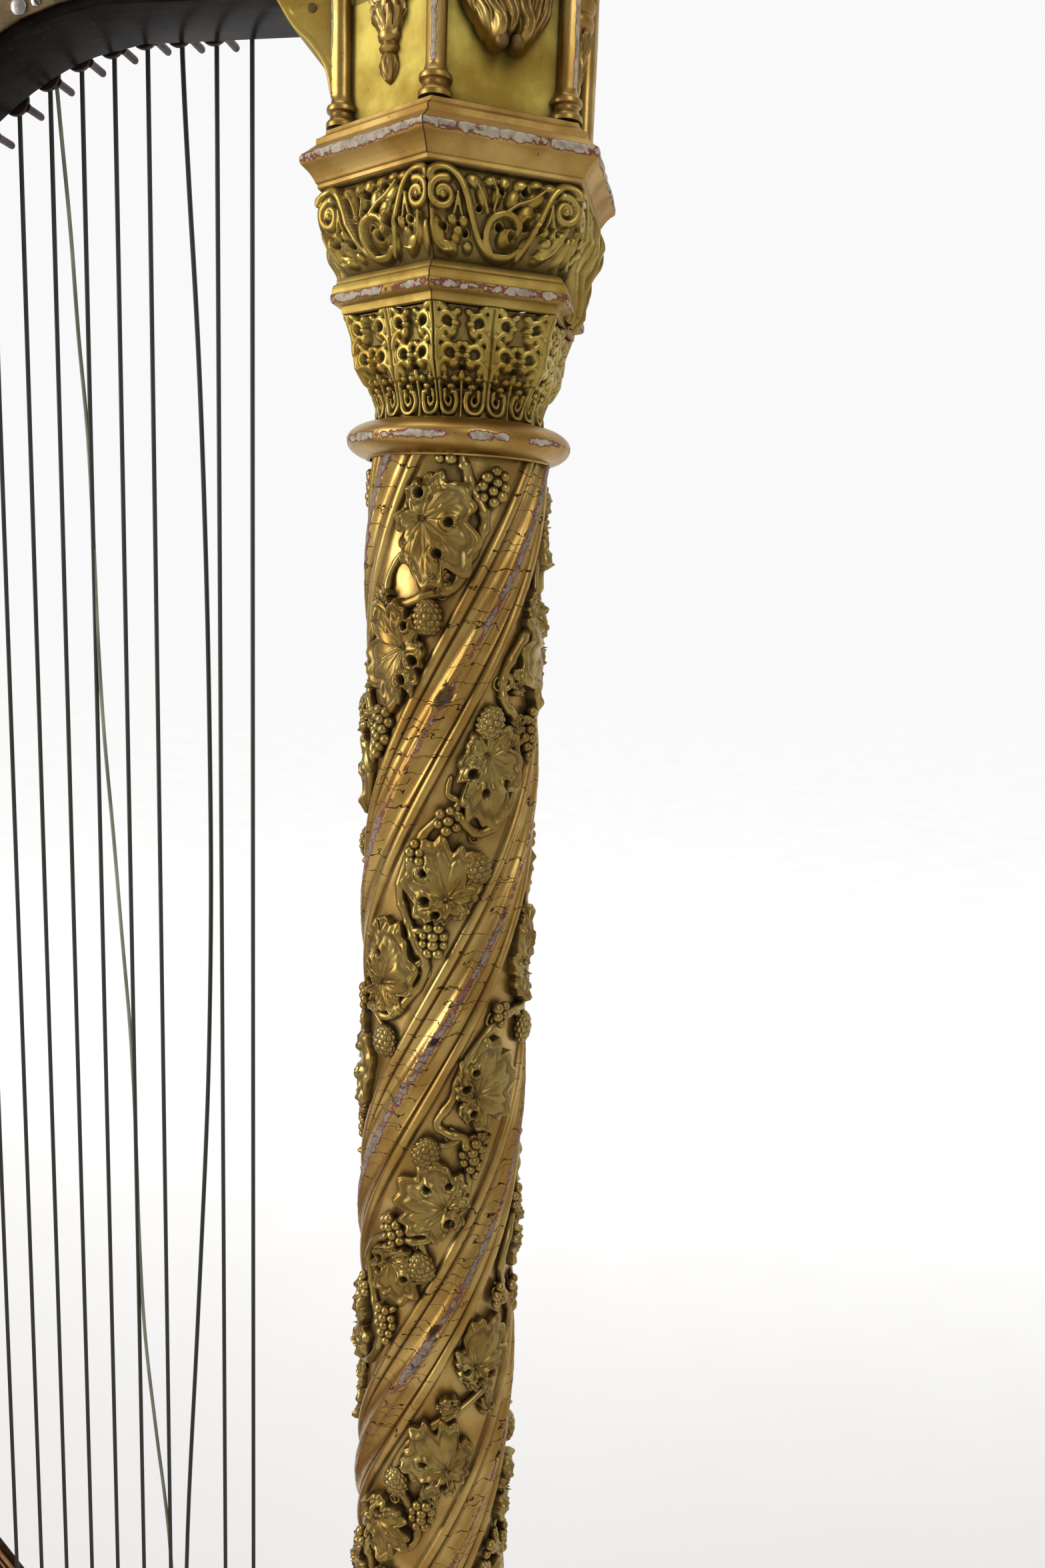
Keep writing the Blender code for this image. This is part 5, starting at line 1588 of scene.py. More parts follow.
def make_box(maple, gilt):
    rows, columns = 60, 61
    turn = np.linspace(-1, 1, columns) * math.pi / 2
    shares = np.linspace(0, 1, rows)
    outer = np.array([[box_place(s, math.sin(a)) for a in turn] for s in shares])
    inner = np.array([[box_place(s, math.sin(a), 0.006) for a in turn] for s in shares])[:, ::-1]
    ring = np.concatenate((outer, inner), axis=1)
    wide = ring.shape[1]
    faces = [tuple(f) for f in grid_faces(rows, wide, closed=True)]
    for row in (0, rows - 1):
        for c in range(columns - 1):
            a, b = row * wide + c, row * wide + c + 1
            faces.append((a, b, row * wide + wide - 2 - c, row * wide + wide - 1 - c))
    clay = Clay().add(from_axis(ring.reshape(-1, 3)), faces)
    shell = clay.piece("soundbox_rounded", maple, "box_maple", ["soundbox_shell"], outward=True, sharp=50)
    cutter = Clay()
    rims = Clay()
    for n in range(5):
        share, length, width = 0.14 + 0.165 * n, 0.125 - 0.016 * n, 0.062 - 0.009 * n
        outline = slot_outline(share, length, width)
        middle = box_place(share, 0)
        out = middle - np.array((board_x(middle[2]), 0, middle[2]))
        out /= np.linalg.norm(out)
        wall = [[box_place(s, a) + out * lift for s, a in outline] for lift in (-0.03, 0.03)]
        cutter.add(from_axis(np.array(wall).reshape(-1, 3)), capped_faces(2, len(outline)))
        for grow, r in ((0.0022, 0.0022), (0.0065, 0.0009)):
            loop = [box_place(s, a) for s, a in slot_outline(share, length, width, grow=grow)]
            rims.add(*shifted(tube([*loop, loop[0], loop[1]], r, 8, closed_ends=False)))
    rims.piece("sound_hole_rims", gilt, "gilding", outward=True)
    tool = cutter.tool("slot_cutter")
    cut = shell.modifiers.new("slots", "BOOLEAN")
    cut.operation, cut.solver, cut.object = "DIFFERENCE", "EXACT", tool
    bpy.context.view_layer.update()
    graph = bpy.context.evaluated_depsgraph_get()
    finished = bpy.data.meshes.new_from_object(shell.evaluated_get(graph))
    shell.modifiers.clear()
    shell.data = finished
    bpy.data.objects.remove(tool)
    bands = Clay()
    for share in (0.012, 0.985):
        loop = [box_place(share, math.sin(a)) for a in turn[2:-2]]
        bands.add(*shifted(tube(loop, 0.0026, 10)))
    bands.piece("soundbox_bands", gilt, "gilding", outward=True)


# ---------------------------------------------------------------- tower, gallery and crown


WINDOW_RIB = 1.1


def tracery(half_width, height, margin=2.0):
    """A blind window: four pointed lights under one arch, with a quatrefoil in its head. One half is
    drawn, and the relief mirrors it."""
    r = Relief(half_width, height, 0.5)
    edge = half_width - margin
    spring = height * 0.56
    rise = height - margin * 1.2 - spring
    arch = [(edge * math.cos(a) ** 0.9, spring + rise * math.sin(a)) for a in np.radians((20, 40, 60, 78))]
    r.bead([(edge, margin), (edge, spring), *arch, (0, spring + rise)], WINDOW_RIB * 1.25, 0.8)
    light = edge / 2
    for n in range(2):
        left, right = light * n, light * (n + 1)
        top = (light * (n + 0.5), spring + light * 0.62)
        r.bead(((left, margin), (left, spring - 2)), WINDOW_RIB * 0.8, 0.6, 0, 0)
        for side, way in ((left, 1), (right, -1)):
            shoulder = (side + way * light * 0.08, spring + light * 0.25)
            r.bead(((side, spring - 2), shoulder, top), WINDOW_RIB * 0.8, 0.6)
        cusp = ((left + 0.8, spring - 5), (top[0], spring - 2.5), (right - 0.8, spring - 5))
        r.bead(cusp, WINDOW_RIB * 0.5, 0.5)
    eye = spring + rise * 0.52
    size = min(edge * 0.30, rise * 0.22)
    for a in np.radians((0, 90, 270)):
        x, y = size * 0.72 * math.cos(a), eye + size * 0.72 * math.sin(a)
        r.hoop(x, y, size * 0.62, WINDOW_RIB * 0.5, 0.5, 20)
    r.hoop(0, eye, size * 1.7, WINDOW_RIB * 0.6, 0.6, 30)
    return r


def pendant(clay, face, slender=False, foot=121.0):
    """A carved drop on a side of the tower: a leafy bud, rings, then foliage that flares upwards."""
    size = 0.62 if slender else 1.0
    stops = ((0.5, 0, 0), (2.0, 1.0, 0.3), (3.7, 3.5, 1.0), (4.3, 6.0, 1.0), (3.6, 8.6, 0.5), (2.7, 9.6, 0),
             (3.9, 10.4, 0), (4.4, 11.4, 0), (3.7, 12.6, 0), (3.5, 13.2, 0), (4.5, 14.0, 0), (5.0, 15.4, 0),
             (4.6, 16.6, 0), (5.2, 17.6, 0.5), (7.4, 20.4, 1.0), (8.2, 23.0, 1.0), (7.4, 25.0, 0.8),
             (8.6, 27.0, 0.6), (10.6, 30.0, 1.0), (11.4, 33.0, 1.0), (10.8, 34.6, 0.3), (10.2, 35.2, 0),
             (11.8, 36.2, 0), (12.2, 38.0, 0), (11.6, 39.2, 0), (10.6, 40.4, 0), (12.8, 43.0, 0),
             (13.0, 44.4, 0))
    columns = 60
    angle = np.arange(columns) * 2 * math.pi / columns
    rows, grime_and_shade_rows = [], []
    for r, z, leafy in stops:
        lobes = np.abs(np.sin(angle * (3.5 if z < 14 else 5.5) + 0.35 * z))
        reach = size * r * (1 - 0.28 * leafy * (1 - lobes) ** 1.5 + 0.05 * leafy * np.sin(angle * 17 + z))
        out = 41.9 + reach * np.cos(angle) * 0.92
        rows.append(facing(face, out, reach * np.sin(angle), foot + z))
        # Darker between the lobes: painted shade.
        grime_and_shade_rows.append(leafy * (1 - lobes) ** 2)
    clay.add(at_ring(np.concatenate(rows)), capped_faces(len(rows), columns),
             grime=np.concatenate(grime_and_shade_rows), tone=0.25, wear=0.14)


def acanthus(clay, face):
    """A broad bracket of leaves that curl forward at their feet over two dark berries."""
    rows, columns = 70, 41
    for centre, wide, low, lean, deep in ((0, 5.0, 131.5, 0, 7.5), (-6.2, 5.6, 128.6, -6, 9.8),
                                          (6.2, 5.6, 128.6, 6, 9.8), (-11.6, 4.6, 131.4, -16, 7.4),
                                          (11.6, 4.6, 131.4, 16, 7.4), (-15.0, 3.4, 136.4, -24, 5.0),
                                          (15.0, 3.4, 136.4, 24, 5.0)):
        v, u = np.meshgrid(np.linspace(0, 1, rows), np.linspace(-1, 1, columns), indexing="ij")
        foot = np.sqrt(np.clip(1 - (1 - np.clip(v / 0.14, 0, 1)) ** 2, 0, 1))
        breadth = wide * foot * (0.72 + 0.42 * np.sin(np.pi * np.clip(0.05 + 0.9 * v, 0, 1)))
        scallop = 1 - 0.12 * np.abs(np.sin(v * 11 + lean)) ** 2
        x = centre * (0.66 + 0.46 * np.clip(v / 0.4, 0, 1)) + u * breadth * scallop
        x = x + 1.1 * np.sin(v * 9 + centre)
        z = low + v * 44.0
        curl = deep * np.exp(-((v - 0.13) / 0.17) ** 2) + 4.6 * np.sin(np.pi * np.clip(v, 0, 1)) ** 0.5
        body = (curl + 0.8) * np.sqrt(np.clip(1 - (0.96 * u) ** 2, 0, 1))
        flutes = np.exp(-(u / 0.13) ** 2) + 0.8 * np.exp(-((np.abs(u) - 0.55) / 0.12) ** 2)
        fading = np.clip((v - 0.05) / 0.12, 0, 1)
        out = 41.2 + body - 1.5 * flutes * fading
        # The flutes are darkened: painted shade.
        clay.add(at_ring(facing(face, out, x, z).reshape(-1, 3)), grid_faces(rows, columns),
                 grime=(0.55 * flutes * fading).ravel(), tone=0.35, wear=0.14)
    berry, faces = ball(2.7)
    for place in (-3.0, 3.0):
        x, y, z = berry.T + np.array((place, 49.8, 130.6))[:, None]
        # The berries are darkened all over: painted shade under the curled feet.
        clay.add(at_ring(facing(face, y, x, z)), faces, grime=0.75)


TOWER_FOOT, WINDOW_FOOT, TOWER_TOP = 109.9, 152.0, 299.7
TOWER_RADIUS = 48.0
COLONNETTE_CIRCLE = 49.8
# A colonnette's foot and head: radius and height above its foot.
COLONNETTE_FOOT = ((6.2, 0.0), (6.3, 1.0), (6.2, 1.9), (5.5, 2.6), (5.0, 3.4), (4.7, 4.2), (4.6, 5.0),
                   (4.9, 5.4), (5.9, 5.8), (6.1, 6.7), (5.8, 7.6), (4.9, 8.1), (4.6, 8.6), (4.3, 9.4),
                   (3.9, 10.6))
COLONNETTE_HEAD = ((4.8, 167.0), (4.8, 169.5), (3.9, 171.0), (4.6, 176.0), (5.9, 183.0), (6.2, 185.0),
                   (6.2, 189.5))


def make_colonnette(material, number, corner):
    """A shaft with a worn keel that points outwards, between its moulded foot and head."""
    columns = 36
    x, y, _ = polar(COLONNETTE_CIRCLE, corner, 0)
    angle = np.arange(columns) * 2 * math.pi / columns
    keel = bump((angle - math.radians(corner) + math.pi) % (2 * math.pi) - math.pi, 0.30)
    stops = [(r * 0.99 + 0.05, 0.1 + z, 0) for r, z in COLONNETTE_FOOT]
    stops += [(3.75, z, 1) for z in np.arange(11.5, 165.0, 3.4)]
    stops += [(r, z, 0) for r, z in COLONNETTE_HEAD]
    chips = wobble(len(stops), 69 + number, 19)
    rows, wears = [], []
    for (r, z, keeled), chip in zip(stops, chips):
        reach = r + keeled * keel * (0.85 - 0.35 * chip)
        level = np.full(columns, TOWER_FOOT + z)
        rows.append(np.stack((x + reach * np.cos(angle), y + reach * np.sin(angle), level), -1))
        wears.append(keeled * keel * (0.45 + 0.75 * chip) + (1 - keeled) * 0.12)
    faces = capped_faces(len(rows), columns)[:-1]
    clay = Clay().add(at_ring(np.concatenate(rows)), faces, wear=np.concatenate(wears), tone=0.25)
    clay.piece(f"colonnette_{number}_keeled", material, "gilding", [f"tower_colonnette_{number}"],
               outward=True)


def make_tower(gilt, green):
    """Plain panels below, a blind window in each above; foliage hangs between the two."""
    clay = Clay()
    ring = hexagon_ring(TOWER_RADIUS, 20)
    levels = (TOWER_FOOT, 130.0, WINDOW_FOOT)
    rows = [np.column_stack((ring, np.full(len(ring), z))) for z in levels]
    faces = grid_faces(len(levels), len(ring), closed=True)[:, ::-1]
    clay.add(at_ring(np.concatenate(rows)), faces, tone=0.75)
    window = tracery(TOWER_RADIUS / 2, TOWER_TOP - WINDOW_FOOT)
    wrap_faces(clay, window, prism_radius(TOWER_RADIUS), WINDOW_FOOT, tone=0.7, mitre=False)
    clay.piece("tower_walls", green, "gilding", ["tower_core"], sharp=40)
    for k in range(6):
        make_colonnette(gilt, k + 1, 30 + 60 * k)
    clay = Clay()
    for face in (-120, 120):
        pendant(clay, face)
    pendant(clay, 0, slender=True, foot=116.0)
    clay.piece("tower_pendants", gilt, "gilding", outward=True)
    clay = Clay()
    for face in (-60, 60):
        acanthus(clay, face)
    clay.piece("tower_acanthus", gilt, "gilding", sharp=0)


def crocket(clay, place, size, outward):
    """A small curled leaf that stands out from an edge."""
    points, faces = ball(1.0, rows=9, columns=14)
    swirl = 1 + 0.22 * np.abs(np.sin(2.5 * np.arctan2(points[:, 1], points[:, 0])))
    points = points * swirl[:, None] * np.array((1.15, 0.8, 0.8)) * size
    clay.add(at_ring(facing(outward, *points.T) + place), faces, tone=0.4, wear=0.2)


def parapet():
    """Half a side of the gallery: quatrefoils with drilled eyes, each in a ring."""
    r = Relief(28.0, 18.0, 0.5)
    for middle in (9.3, 27.9, -9.3):
        r.hoop(middle, 9, 6.9, 0.9, 1.0)
        for a in np.radians((45, 135, 225, 315)):
            x, y = middle + 3.0 * math.cos(a), 9 + 3.0 * math.sin(a)
            r.hoop(x, y, 2.5, 0.55, 0.7)
            r.pit(x, y, 1.3, 2.2, 0.0)
    return r


def raised(profile, foot):
    """A profile of (radius, height, wear) that starts from this height."""
    return [(r, foot + z, wear) for r, z, wear in profile]


GALLERY_FOOT = 300.0
GALLERY_LOW = ((45.0, 0, 0), (57.0, 0, 0), (58.0, 4, 0.1), (60.0, 8, 0.2), (60.2, 11, 0.6), (60.0, 14, 0.3),
               (57.5, 17, 0), (56.2, 19, 0))
GALLERY_HIGH = ((56.2, 37, 0), (57.5, 39, 0), (60.5, 43, 0.1), (62.0, 45, 0.1), (64.6, 49, 0.3),
                (65.0, 52, 0.7), (64.8, 55, 0.6), (56.0, 55.1, 0))
ROOF = ((56.0, 355.4, 0.1), (56.0, 371.0, 0.3), (54.5, 374.0, 0.5), (50.0, 376.4, 0.1), (44.0, 383.0, 0),
        (37.5, 396.0, 0), (31.0, 409.0, 0), (24.0, 420.0, 0), (17.5, 429.0, 0), (12.0, 438.0, 0),
        (9.6, 443.0, 0))
# Radius, height, and how deep its lobes are.
FINIAL = ((9.4, 442.0, 0), (8.4, 444.0, 0), (11.5, 446.0, 0), (12.0, 447.5, 0), (9.0, 449.0, 0),
          (8.5, 450.5, 0), (12.5, 452.5, 1), (15.4, 455.5, 1), (16.4, 458.5, 1), (14.4, 461.5, 1),
          (10.4, 464.0, 0.5), (9.4, 465.4, 0), (11.4, 467.4, 1), (11.6, 470.0, 1), (8.6, 474.0, 1),
          (4.6, 477.6, 0.4), (1.2, 479.6, 0))


def make_crown(gilt):
    """The gallery, and a steep hexagonal roof with crockets up its edges and a finial."""
    clay = hexagon_moulding(Clay(), raised(GALLERY_LOW, GALLERY_FOOT), chips=0.8, seed=51, tone=0.3)
    wrap_faces(clay, parapet(), prism_radius(56.0), GALLERY_FOOT + 19.0, tone=0.7, mitre=False)
    hexagon_moulding(clay, raised(GALLERY_HIGH, GALLERY_FOOT), chips=0.8, seed=53, tone=0.3)
    clay.piece("gallery_pierced", gilt, "gilding", ["tower_gallery"], sharp=35)
    clay = hexagon_moulding(Clay(), ROOF, chips=0.5, seed=57, tone=0.6, soft=False)
    stops = np.array([(r, z) for r, z, _ in ROOF[4:]])
    for corner in 30 + 60 * np.arange(6):
        for z in np.arange(385.0, 438.0, 9.5):
            r = float(np.interp(z, stops[:, 1], stops[:, 0])) + 1.6
            crocket(clay, polar(r, corner, z), 3.4 - 0.02 * (z - 385), corner)
        path = [polar(r + 0.4, corner, z) for r, z in stops]
        clay.add(*ringed(tube(path, 1.3, 8)), tone=0.4, wear=0.35)
        crocket(clay, polar(57.0, corner, 366.0), 4.2, corner)
    clay.add(*ringed(turned_z(FINIAL, 60, 12, 0.30)), tone=0.3, wear=0.16)
    clay.piece("crown_crocketed", gilt, "gilding", ["crown_cap"], sharp=40)


# ---------------------------------------------------------------- the column's foot


PEDESTAL_LOW = ((45.0, 0, 0), (66.0, 0, 0.1), (66.0, 20.0, 0.5), (65.0, 22.5, 0.3), (62.5, 26.0, 0),
                (62.6, 28.0, 0), (64.5, 31.0, 0.5), (64.0, 34.0, 0.3), (59.0, 42.0, 0), (56.5, 48.0, 0),
                (56.0, 52.0, 0.1), (54.6, 64.0, 0))
PEDESTAL_HIGH = ((54.5, 214.0, 0), (55.0, 216.0, 0.1), (56.2, 222.0, 0), (58.5, 226.0, 0), (61.0, 233.0, 0),
                 (63.0, 237.0, 0.4), (63.2, 242.0, 0.7), (62.8, 248.0, 0.5), (58.5, 252.0, 0),
                 (57.2, 254.0, 0.1), (56.0, 259.6, 0.1), (42.0, 259.7, 0))
COLUMN_FOOT_Z = 0.4003


def torus(middle, height, reach, rise, worn, count):
    """Half a round moulding, from below to above, most worn where it stands out furthest."""
    return [(middle + reach * math.cos(a), height + rise * math.sin(a), worn * math.cos(a) ** 6)
            for a in np.radians(np.linspace(-80, 80, count))]


def make_pedestal(gilt):
    """The hexagonal pedestal with a blind window in each side, and the column's round foot on it."""
    floor = (BASE_TOP - RING_Z) / MM
    clay = hexagon_moulding(Clay(), raised(PEDESTAL_LOW, floor), chips=0.9, seed=61, tone=0.2)
    window = tracery(27.25, 150.0, margin=3.4)
    wrap_faces(clay, window, prism_radius(54.5), floor + 64.0, tone=0.8, mitre=False)
    hexagon_moulding(clay, raised(PEDESTAL_HIGH, floor), chips=0.9, seed=63, tone=0.2)
    clay.piece("pedestal_traceried", gilt, "gilding", ["column_pedestal"], sharp=35)
    profile = [(38.0, 0.0, 0), (48.0, 0.1, 0), *torus(46.2, 5.6, 4.8, 5.3, 0.6, 11),
               (45.2, 11.6, 0), (43.0, 13.6, 0), (42.2, 16.4, 0), (42.6, 19.2, 0),
               *torus(42.6, 23.6, 2.6, 3.4, 0.5, 9),
               (42.0, 28.0, 0), (40.6, 30.2, 0), (39.8, 31.4, 0), (36.0, 31.5, 0)]
    foot = (COLUMN_FOOT_Z - RING_Z) / MM
    clay = round_moulding(Clay(), raised(profile, foot), chips=0.8, seed=67)
    clay.piece("column_foot_worn", gilt, "gilding", ["column_base_moulding"])


# ---------------------------------------------------------------- base, feet and pedals


def base_plan(grow):
    """The base seen from above, in metres about the column's axis."""
    half = ((0.112, 0.056), (0.072, 0.128), (0.012, 0.170), (-0.080, 0.185), (-0.235, 0.185), (-0.290, 0.165),
            (-0.330, 0.118), (-0.343, 0.060))
    spots = np.array((*half, *[(x, -y) for x, y in reversed(half)]))
    out = spots - MIDDLE_OF_BASE
    return spots + out / np.linalg.norm(out, axis=1)[:, None] * grow


MIDDLE_OF_BASE = (-0.115, 0)
BACK_OF_BASE = -0.27
# Pressed pedals come down where this bead would run, so it stops short of the back.
PEDAL_BEAD = 0.0500
# Beads round the base: how far outside its plan, height and radius.
BASE_BEADS = ((0.0045, 0.1290, 0.0030), (-0.0008, 0.1190, 0.0016), (0.0005, PEDAL_BEAD, 0.0016),
              (0.0045, 0.0310, 0.0026))
FEET = (("front", (0.074, 0.088)), ("back", (-0.262, 0.132)))
FOOT_PROFILE = ((0.0138, 0.0, 0), (0.0170, 0.0012, 0.2), (0.0205, 0.0040, 0.8), (0.0232, 0.0080, 1),
                (0.0238, 0.0115, 1), (0.0228, 0.0155, 1), (0.0196, 0.0190, 0.6), (0.0172, 0.0208, 0),
                (0.0182, 0.0222, 0), (0.0190, 0.0240, 0), (0.0188, 0.0257, 0))


def open_at_back(path):
    """A closed loop without its run along the back, and a little shorter at both ends."""
    at_back = path[:, 0] < BACK_OF_BASE
    first = int(np.flatnonzero(at_back & ~np.roll(at_back, -1))[0])
    path = np.roll(path, -first, 0)[:len(path) - int(at_back.sum()) + 2]
    for end, beside in ((0, 1), (-1, -2)):
        way = path[beside] - path[end]
        path[end] += way * 0.020 / np.linalg.norm(way)
    return path


def make_base(gilt, green):
    """The carcase stays as it is; beads run along its edges and gothic panels dress its sides."""
    clay = Clay()
    for grow, z, r in BASE_BEADS:
        plan = base_plan(grow)
        path = np.column_stack((plan, np.full(len(plan), z)))
        path = open_at_back(path) if z == PEDAL_BEAD else np.vstack((path, path[:2]))
        clay.add(*shifted(tube(path, r, 10, closed_ends=False)), wear=0.18)
    clay.piece("base_beads", gilt, "gilding")
    clay = Clay()
    plan = base_plan(-0.002)
    for a, b in zip(plan, np.roll(plan, -1, 0)):
        length = float(np.linalg.norm(b - a))
        if length < 0.03 or max(a[0], b[0]) < BACK_OF_BASE:
            continue
        count = max(1, round(length / 0.048))
        ahead = (b - a) / length
        out = np.array((ahead[1], -ahead[0]))
        out *= math.copysign(1, out @ ((a + b) / 2 - MIDDLE_OF_BASE))
        for n in range(count):
            middle = a + (b - a) * (n + 0.5) / count
            quatrefoil(clay, middle, ahead, out, min(length / count / 2 - 0.004, 0.024))
    clay.piece("base_quatrefoils", gilt, "gilding", outward=True)
    for name in ("base_box", "base_floor"):
        dress(name, green)
    for end, (x, y) in FEET:
        for side, sign in (("left", 1), ("right", -1)):
            clay = Clay().add(*shifted(turned_z(FOOT_PROFILE, 72, 16, 0.10, x, sign * y)), wear=0.2)
            clay.piece(f"foot_{end}_{side}_gadrooned", gilt, "gilding", [f"foot_{end}_{side}"], outward=True)


def quatrefoil(clay, middle, ahead, out, reach):
    """Four rings within a larger one and a bud in the middle, lying on a side of the base."""
    def lay(u, v, lift):
        flat = middle + ahead * u + out * (0.0012 + lift)
        return np.array((flat[0], flat[1], 0.0850 + v))

    r = reach * 0.44
    turn = np.linspace(0, 2 * math.pi, 25)
    for du, dv in ((1, 0), (-1, 0), (0, 1), (0, -1)):
        loop = [lay(du * r + r * math.cos(t), dv * r + r * math.sin(t), 0.0) for t in turn]
        clay.add(*shifted(tube(loop, 0.0013, 8, closed_ends=False)), wear=0.16)
    wide = reach * 1.12
    loop = [lay(wide * math.cos(t), wide * math.sin(t), 0.0002) for t in np.linspace(0, 2 * math.pi, 41)]
    clay.add(*shifted(tube(loop, 0.0018, 8, closed_ends=False)), wear=0.2)
    points, faces = ball(0.0034)
    clay.add(from_axis(points + lay(0, 0, 0.0006)), faces, wear=0.3)


PEDAL_ORDER = ("d", "c", "b", "e", "f", "g", "a")
PEDAL_BACK_Y = (0.152, 0.107, 0.062, -0.042, -0.084, -0.124, -0.163)
PEDAL_TREAD_TOP = 0.1104


def make_pedals(brass, steel):
    """Six grip ribs across each pedal's tread."""
    for note, y in zip(PEDAL_ORDER, PEDAL_BACK_Y):
        ribs = Clay()
        for n, x in enumerate(np.linspace(-0.380, -0.406, 6)):
            half = 0.0105 - 0.0006 * abs(n - 2.5)
            ends = [(x, y + way * half, PEDAL_TREAD_TOP) for way in (-1, 1)]
            ribs.add(*shifted(tube(ends, 0.0007, 8)))
        ribs.piece(f"pedal_{note}_ribs", brass, "pedal_brass", body=f"pedal_{note}", outward=True)
        dress(f"pedal_{note}", brass)
        dress(f"pull_rod_{note}", steel)
    dress("pedal_axle", steel)


# ---------------------------------------------------------------- the other finishes


def lacquer(name, colour):
    """Black stained wood under old varnish, with its grain faintly showing and fine scratches."""
    p = Paint(name)
    grain = p.noise(45, 6, stretch=(1, 6, 6))
    dull = p.noise(14, 4)
    scratch = p.rise(p.noise(300, 5, stretch=(1, 1, 9)), 0.64, 0.70)
    base = p.mix(p.rise(grain, 0.35, 0.7), colour, tuple(2.2 * c for c in colour))
    base = p.mix(p.math("MULTIPLY", scratch, 0.35), base, (0.10, 0.07, 0.045))
    rough = p.math("ADD", p.rise(dull, 0.3, 0.7, 0.22, 0.42), p.math("MULTIPLY", scratch, 0.2))
    height = p.math("ADD", grain, p.math("MULTIPLY", scratch, -0.4))
    return p.finish(base, rough, 0.0, p.bump(height, 0.0004, 0.25), Specular_IOR_Level=0.03)


def metal(name, colour, dark, rough=(0.28, 0.46), brushed=(1, 1, 1), shine=1.0):
    """A metal with tarnish in patches and hollows, and fine polishing marks."""
    p = Paint(name)
    cloud = p.noise(55, 6)
    marks = p.noise(700, 4, stretch=brushed)
    spots = p.rise(p.noise(420, 5), 0.62, 0.70)
    hollow = p.rise(p.occlusion(0.004), 0.85, 0.25)
    stain = p.math("MAXIMUM", hollow, p.math("MULTIPLY", p.rise(cloud, 0.42, 0.68), 0.7))
    # grime adds painted shade in screw slots to the stain.
    stain = p.math("MAXIMUM", stain, p.math("MAXIMUM", p.value("grime"), p.math("MULTIPLY", spots, 0.6)))
    base = p.mix(stain, colour, dark)
    finish = p.math("MULTIPLY_ADD", stain, 0.16, p.rise(marks, 0.3, 0.7, *rough))
    height = p.math("ADD", marks, p.math("MULTIPLY", spots, -0.5))
    return p.finish(base, finish, shine, p.bump(height, 0.0002, 0.3))


def wood(name, pale, deep, grain_scale, stretch, figure=0.0, figure_stretch=(1, 1, 1)):
    """Varnished wood: growth lines, pores, and a figure that glances across them."""
    p = Paint(name)
    lines = p.noise(grain_scale, 5, stretch=stretch, distortion=0.2, roughness=0.6)
    pores = p.rise(p.noise(grain_scale * 4, 3, stretch=stretch), 0.60, 0.72)
    flame = p.noise(30, 3, stretch=figure_stretch, distortion=0.4)
    age = p.noise(9, 4)
    share = p.math("MULTIPLY_ADD", p.math("SUBTRACT", flame, 0.5), figure, p.rise(lines, 0.32, 0.68))
    base = p.mix(share, deep, pale)
    base = p.mix(p.math("MULTIPLY", pores, 0.45), base, tuple(0.4 * c for c in deep))
    base = p.mix(p.rise(age, 0.50, 0.72, 0.0, 0.35), base, tuple(0.55 * c for c in deep))
    rough = p.rise(age, 0.3, 0.7, 0.20, 0.34)
    return p.finish(base, rough, 0.0, p.bump(p.math("ADD", lines, pores), 0.0002, 0.25),
                    Coat_Weight=0.5, Coat_Roughness=0.15)


def string_finish(name, colour, wound=True):
    """Covered strings have a fine winding; plain gut has a slow twist and darker patches."""
    p = Paint(name)
    values = {"Vector": p.where(), "Scale": 900.0 if wound else 260.0, "Distortion": 0.6}
    turns = p.node("ShaderNodeTexWave", values, wave_type="BANDS", bands_direction="Z").outputs["Fac"]
    worn = p.noise(26, 5)
    fine = p.noise(500, 4)
    base = p.mix(p.rise(worn, 0.35, 0.7), tuple(0.62 * c for c in colour), tuple(1.5 * c for c in colour))
    base = p.mix(p.math("MULTIPLY", fine, 0.4), base, tuple(0.6 * c for c in colour))
    return p.finish(base, p.rise(worn, 0.3, 0.7, 0.34, 0.55), 0.0,
                    p.bump(turns, 0.0002, 0.35 if wound else 0.15))


# ---------------------------------------------------------------- the whole harp

make_camera()
make_studio()

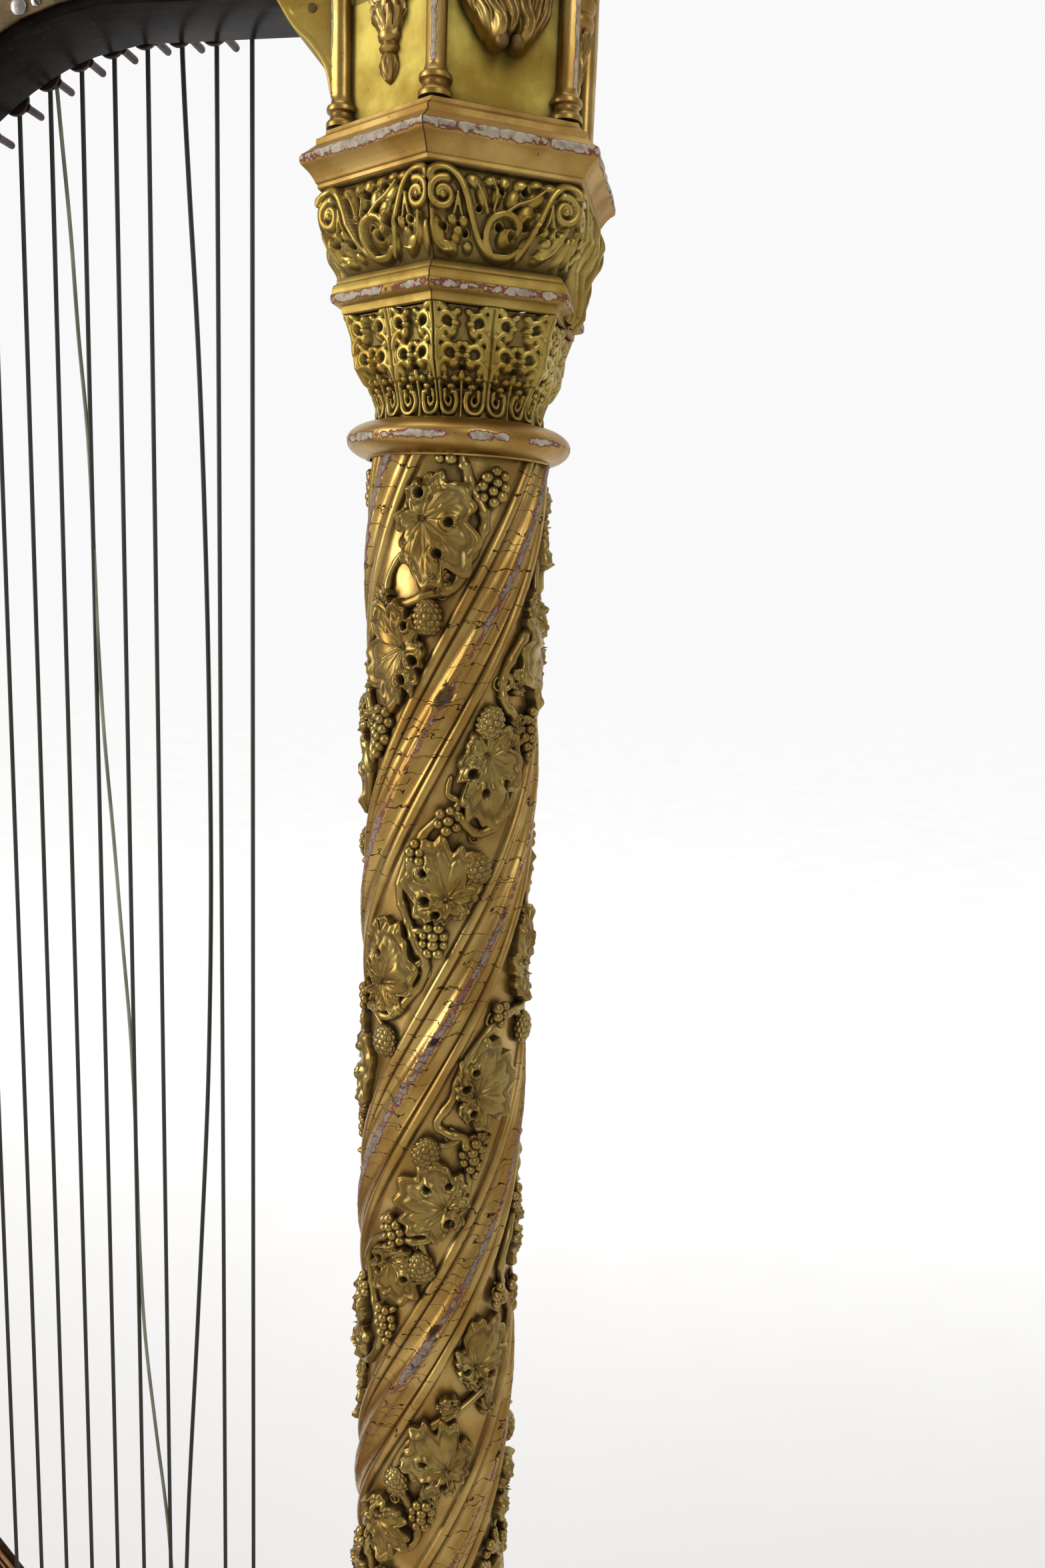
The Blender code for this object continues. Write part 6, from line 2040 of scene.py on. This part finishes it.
gilt = gilding("gilt")
gilt_vine = gilding("gilt_vine", under=WORN_TO_BROWN, matt=-0.05, dust=0.12)
gilt_capital = gilding("gilt_capital", other=GREEN_GOLD, under=WORN_TO_BROWN, dust=0.12)
gilt_shaft = gilding("gilt_shaft", other=GREEN_GOLD, under=WORN_TO_DARK_GESSO, cracked=True)
gilt_green = gilding("gilt_green", other=GREEN_GOLD, matt=0.20)
neck_lacquer = lacquer("neck_lacquer", (0.0055, 0.0040, 0.0032))
strip_wood = lacquer("strip_wood", (0.030, 0.014, 0.007))
action_brass = metal("action_brass", (0.23, 0.165, 0.085), (0.085, 0.058, 0.032), brushed=(0.1, 1, 1))
# The discs' brass is painted nearly black: painted shade, as they sit in the shadow under the neck.
disc_brass = metal("disc_brass", (0.040, 0.017, 0.010), (0.015, 0.007, 0.005), (0.40, 0.52), shine=0.3)
pedal_brass = metal("pedal_brass", (0.56, 0.39, 0.16), (0.22, 0.14, 0.06), brushed=(0.1, 1, 1))
steel = metal("steel", (0.34, 0.33, 0.31), (0.10, 0.075, 0.055), (0.26, 0.40))
spruce = wood("spruce", (0.52, 0.25, 0.070), (0.30, 0.115, 0.028), 620, (1, 0.03, 1))
maple = wood("maple", (0.34, 0.145, 0.045), (0.17, 0.060, 0.020), 120, (1, 1, 0.06), 0.55, (0.4, 1.2, 2.6))
string_dark = string_finish("string_dark", (0.014, 0.016, 0.009))
string_red = string_finish("string_red", (0.14, 0.020, 0.012), wound=False)
string_pale = string_finish("string_pale", (0.21, 0.225, 0.160), wound=False)
string_gut = string_finish("string_gut", (0.055, 0.048, 0.028), wound=False)

make_shaft(gilt_shaft)
make_vine(gilt_vine)
make_ring(gilt)
make_bell(gilt_capital)
make_lower_moulding(gilt_green)
make_frieze(gilt_capital)
make_cornice(gilt_green)
make_tower(gilt, gilt_green)
make_crown(gilt)
make_pedestal(gilt)
make_neck(neck_lacquer, gilt)
make_corbel(gilt_green)
make_plates(action_brass)
make_plate_screws(steel)
make_discs(disc_brass)
make_pins(action_brass, steel)
make_strings(string_dark, string_red, string_pale, string_gut)
make_board(spruce, strip_wood, action_brass)
make_box(maple, gilt)
dress("shoulder_block", maple)
make_base(gilt, gilt_green)
make_pedals(pedal_brass, steel)
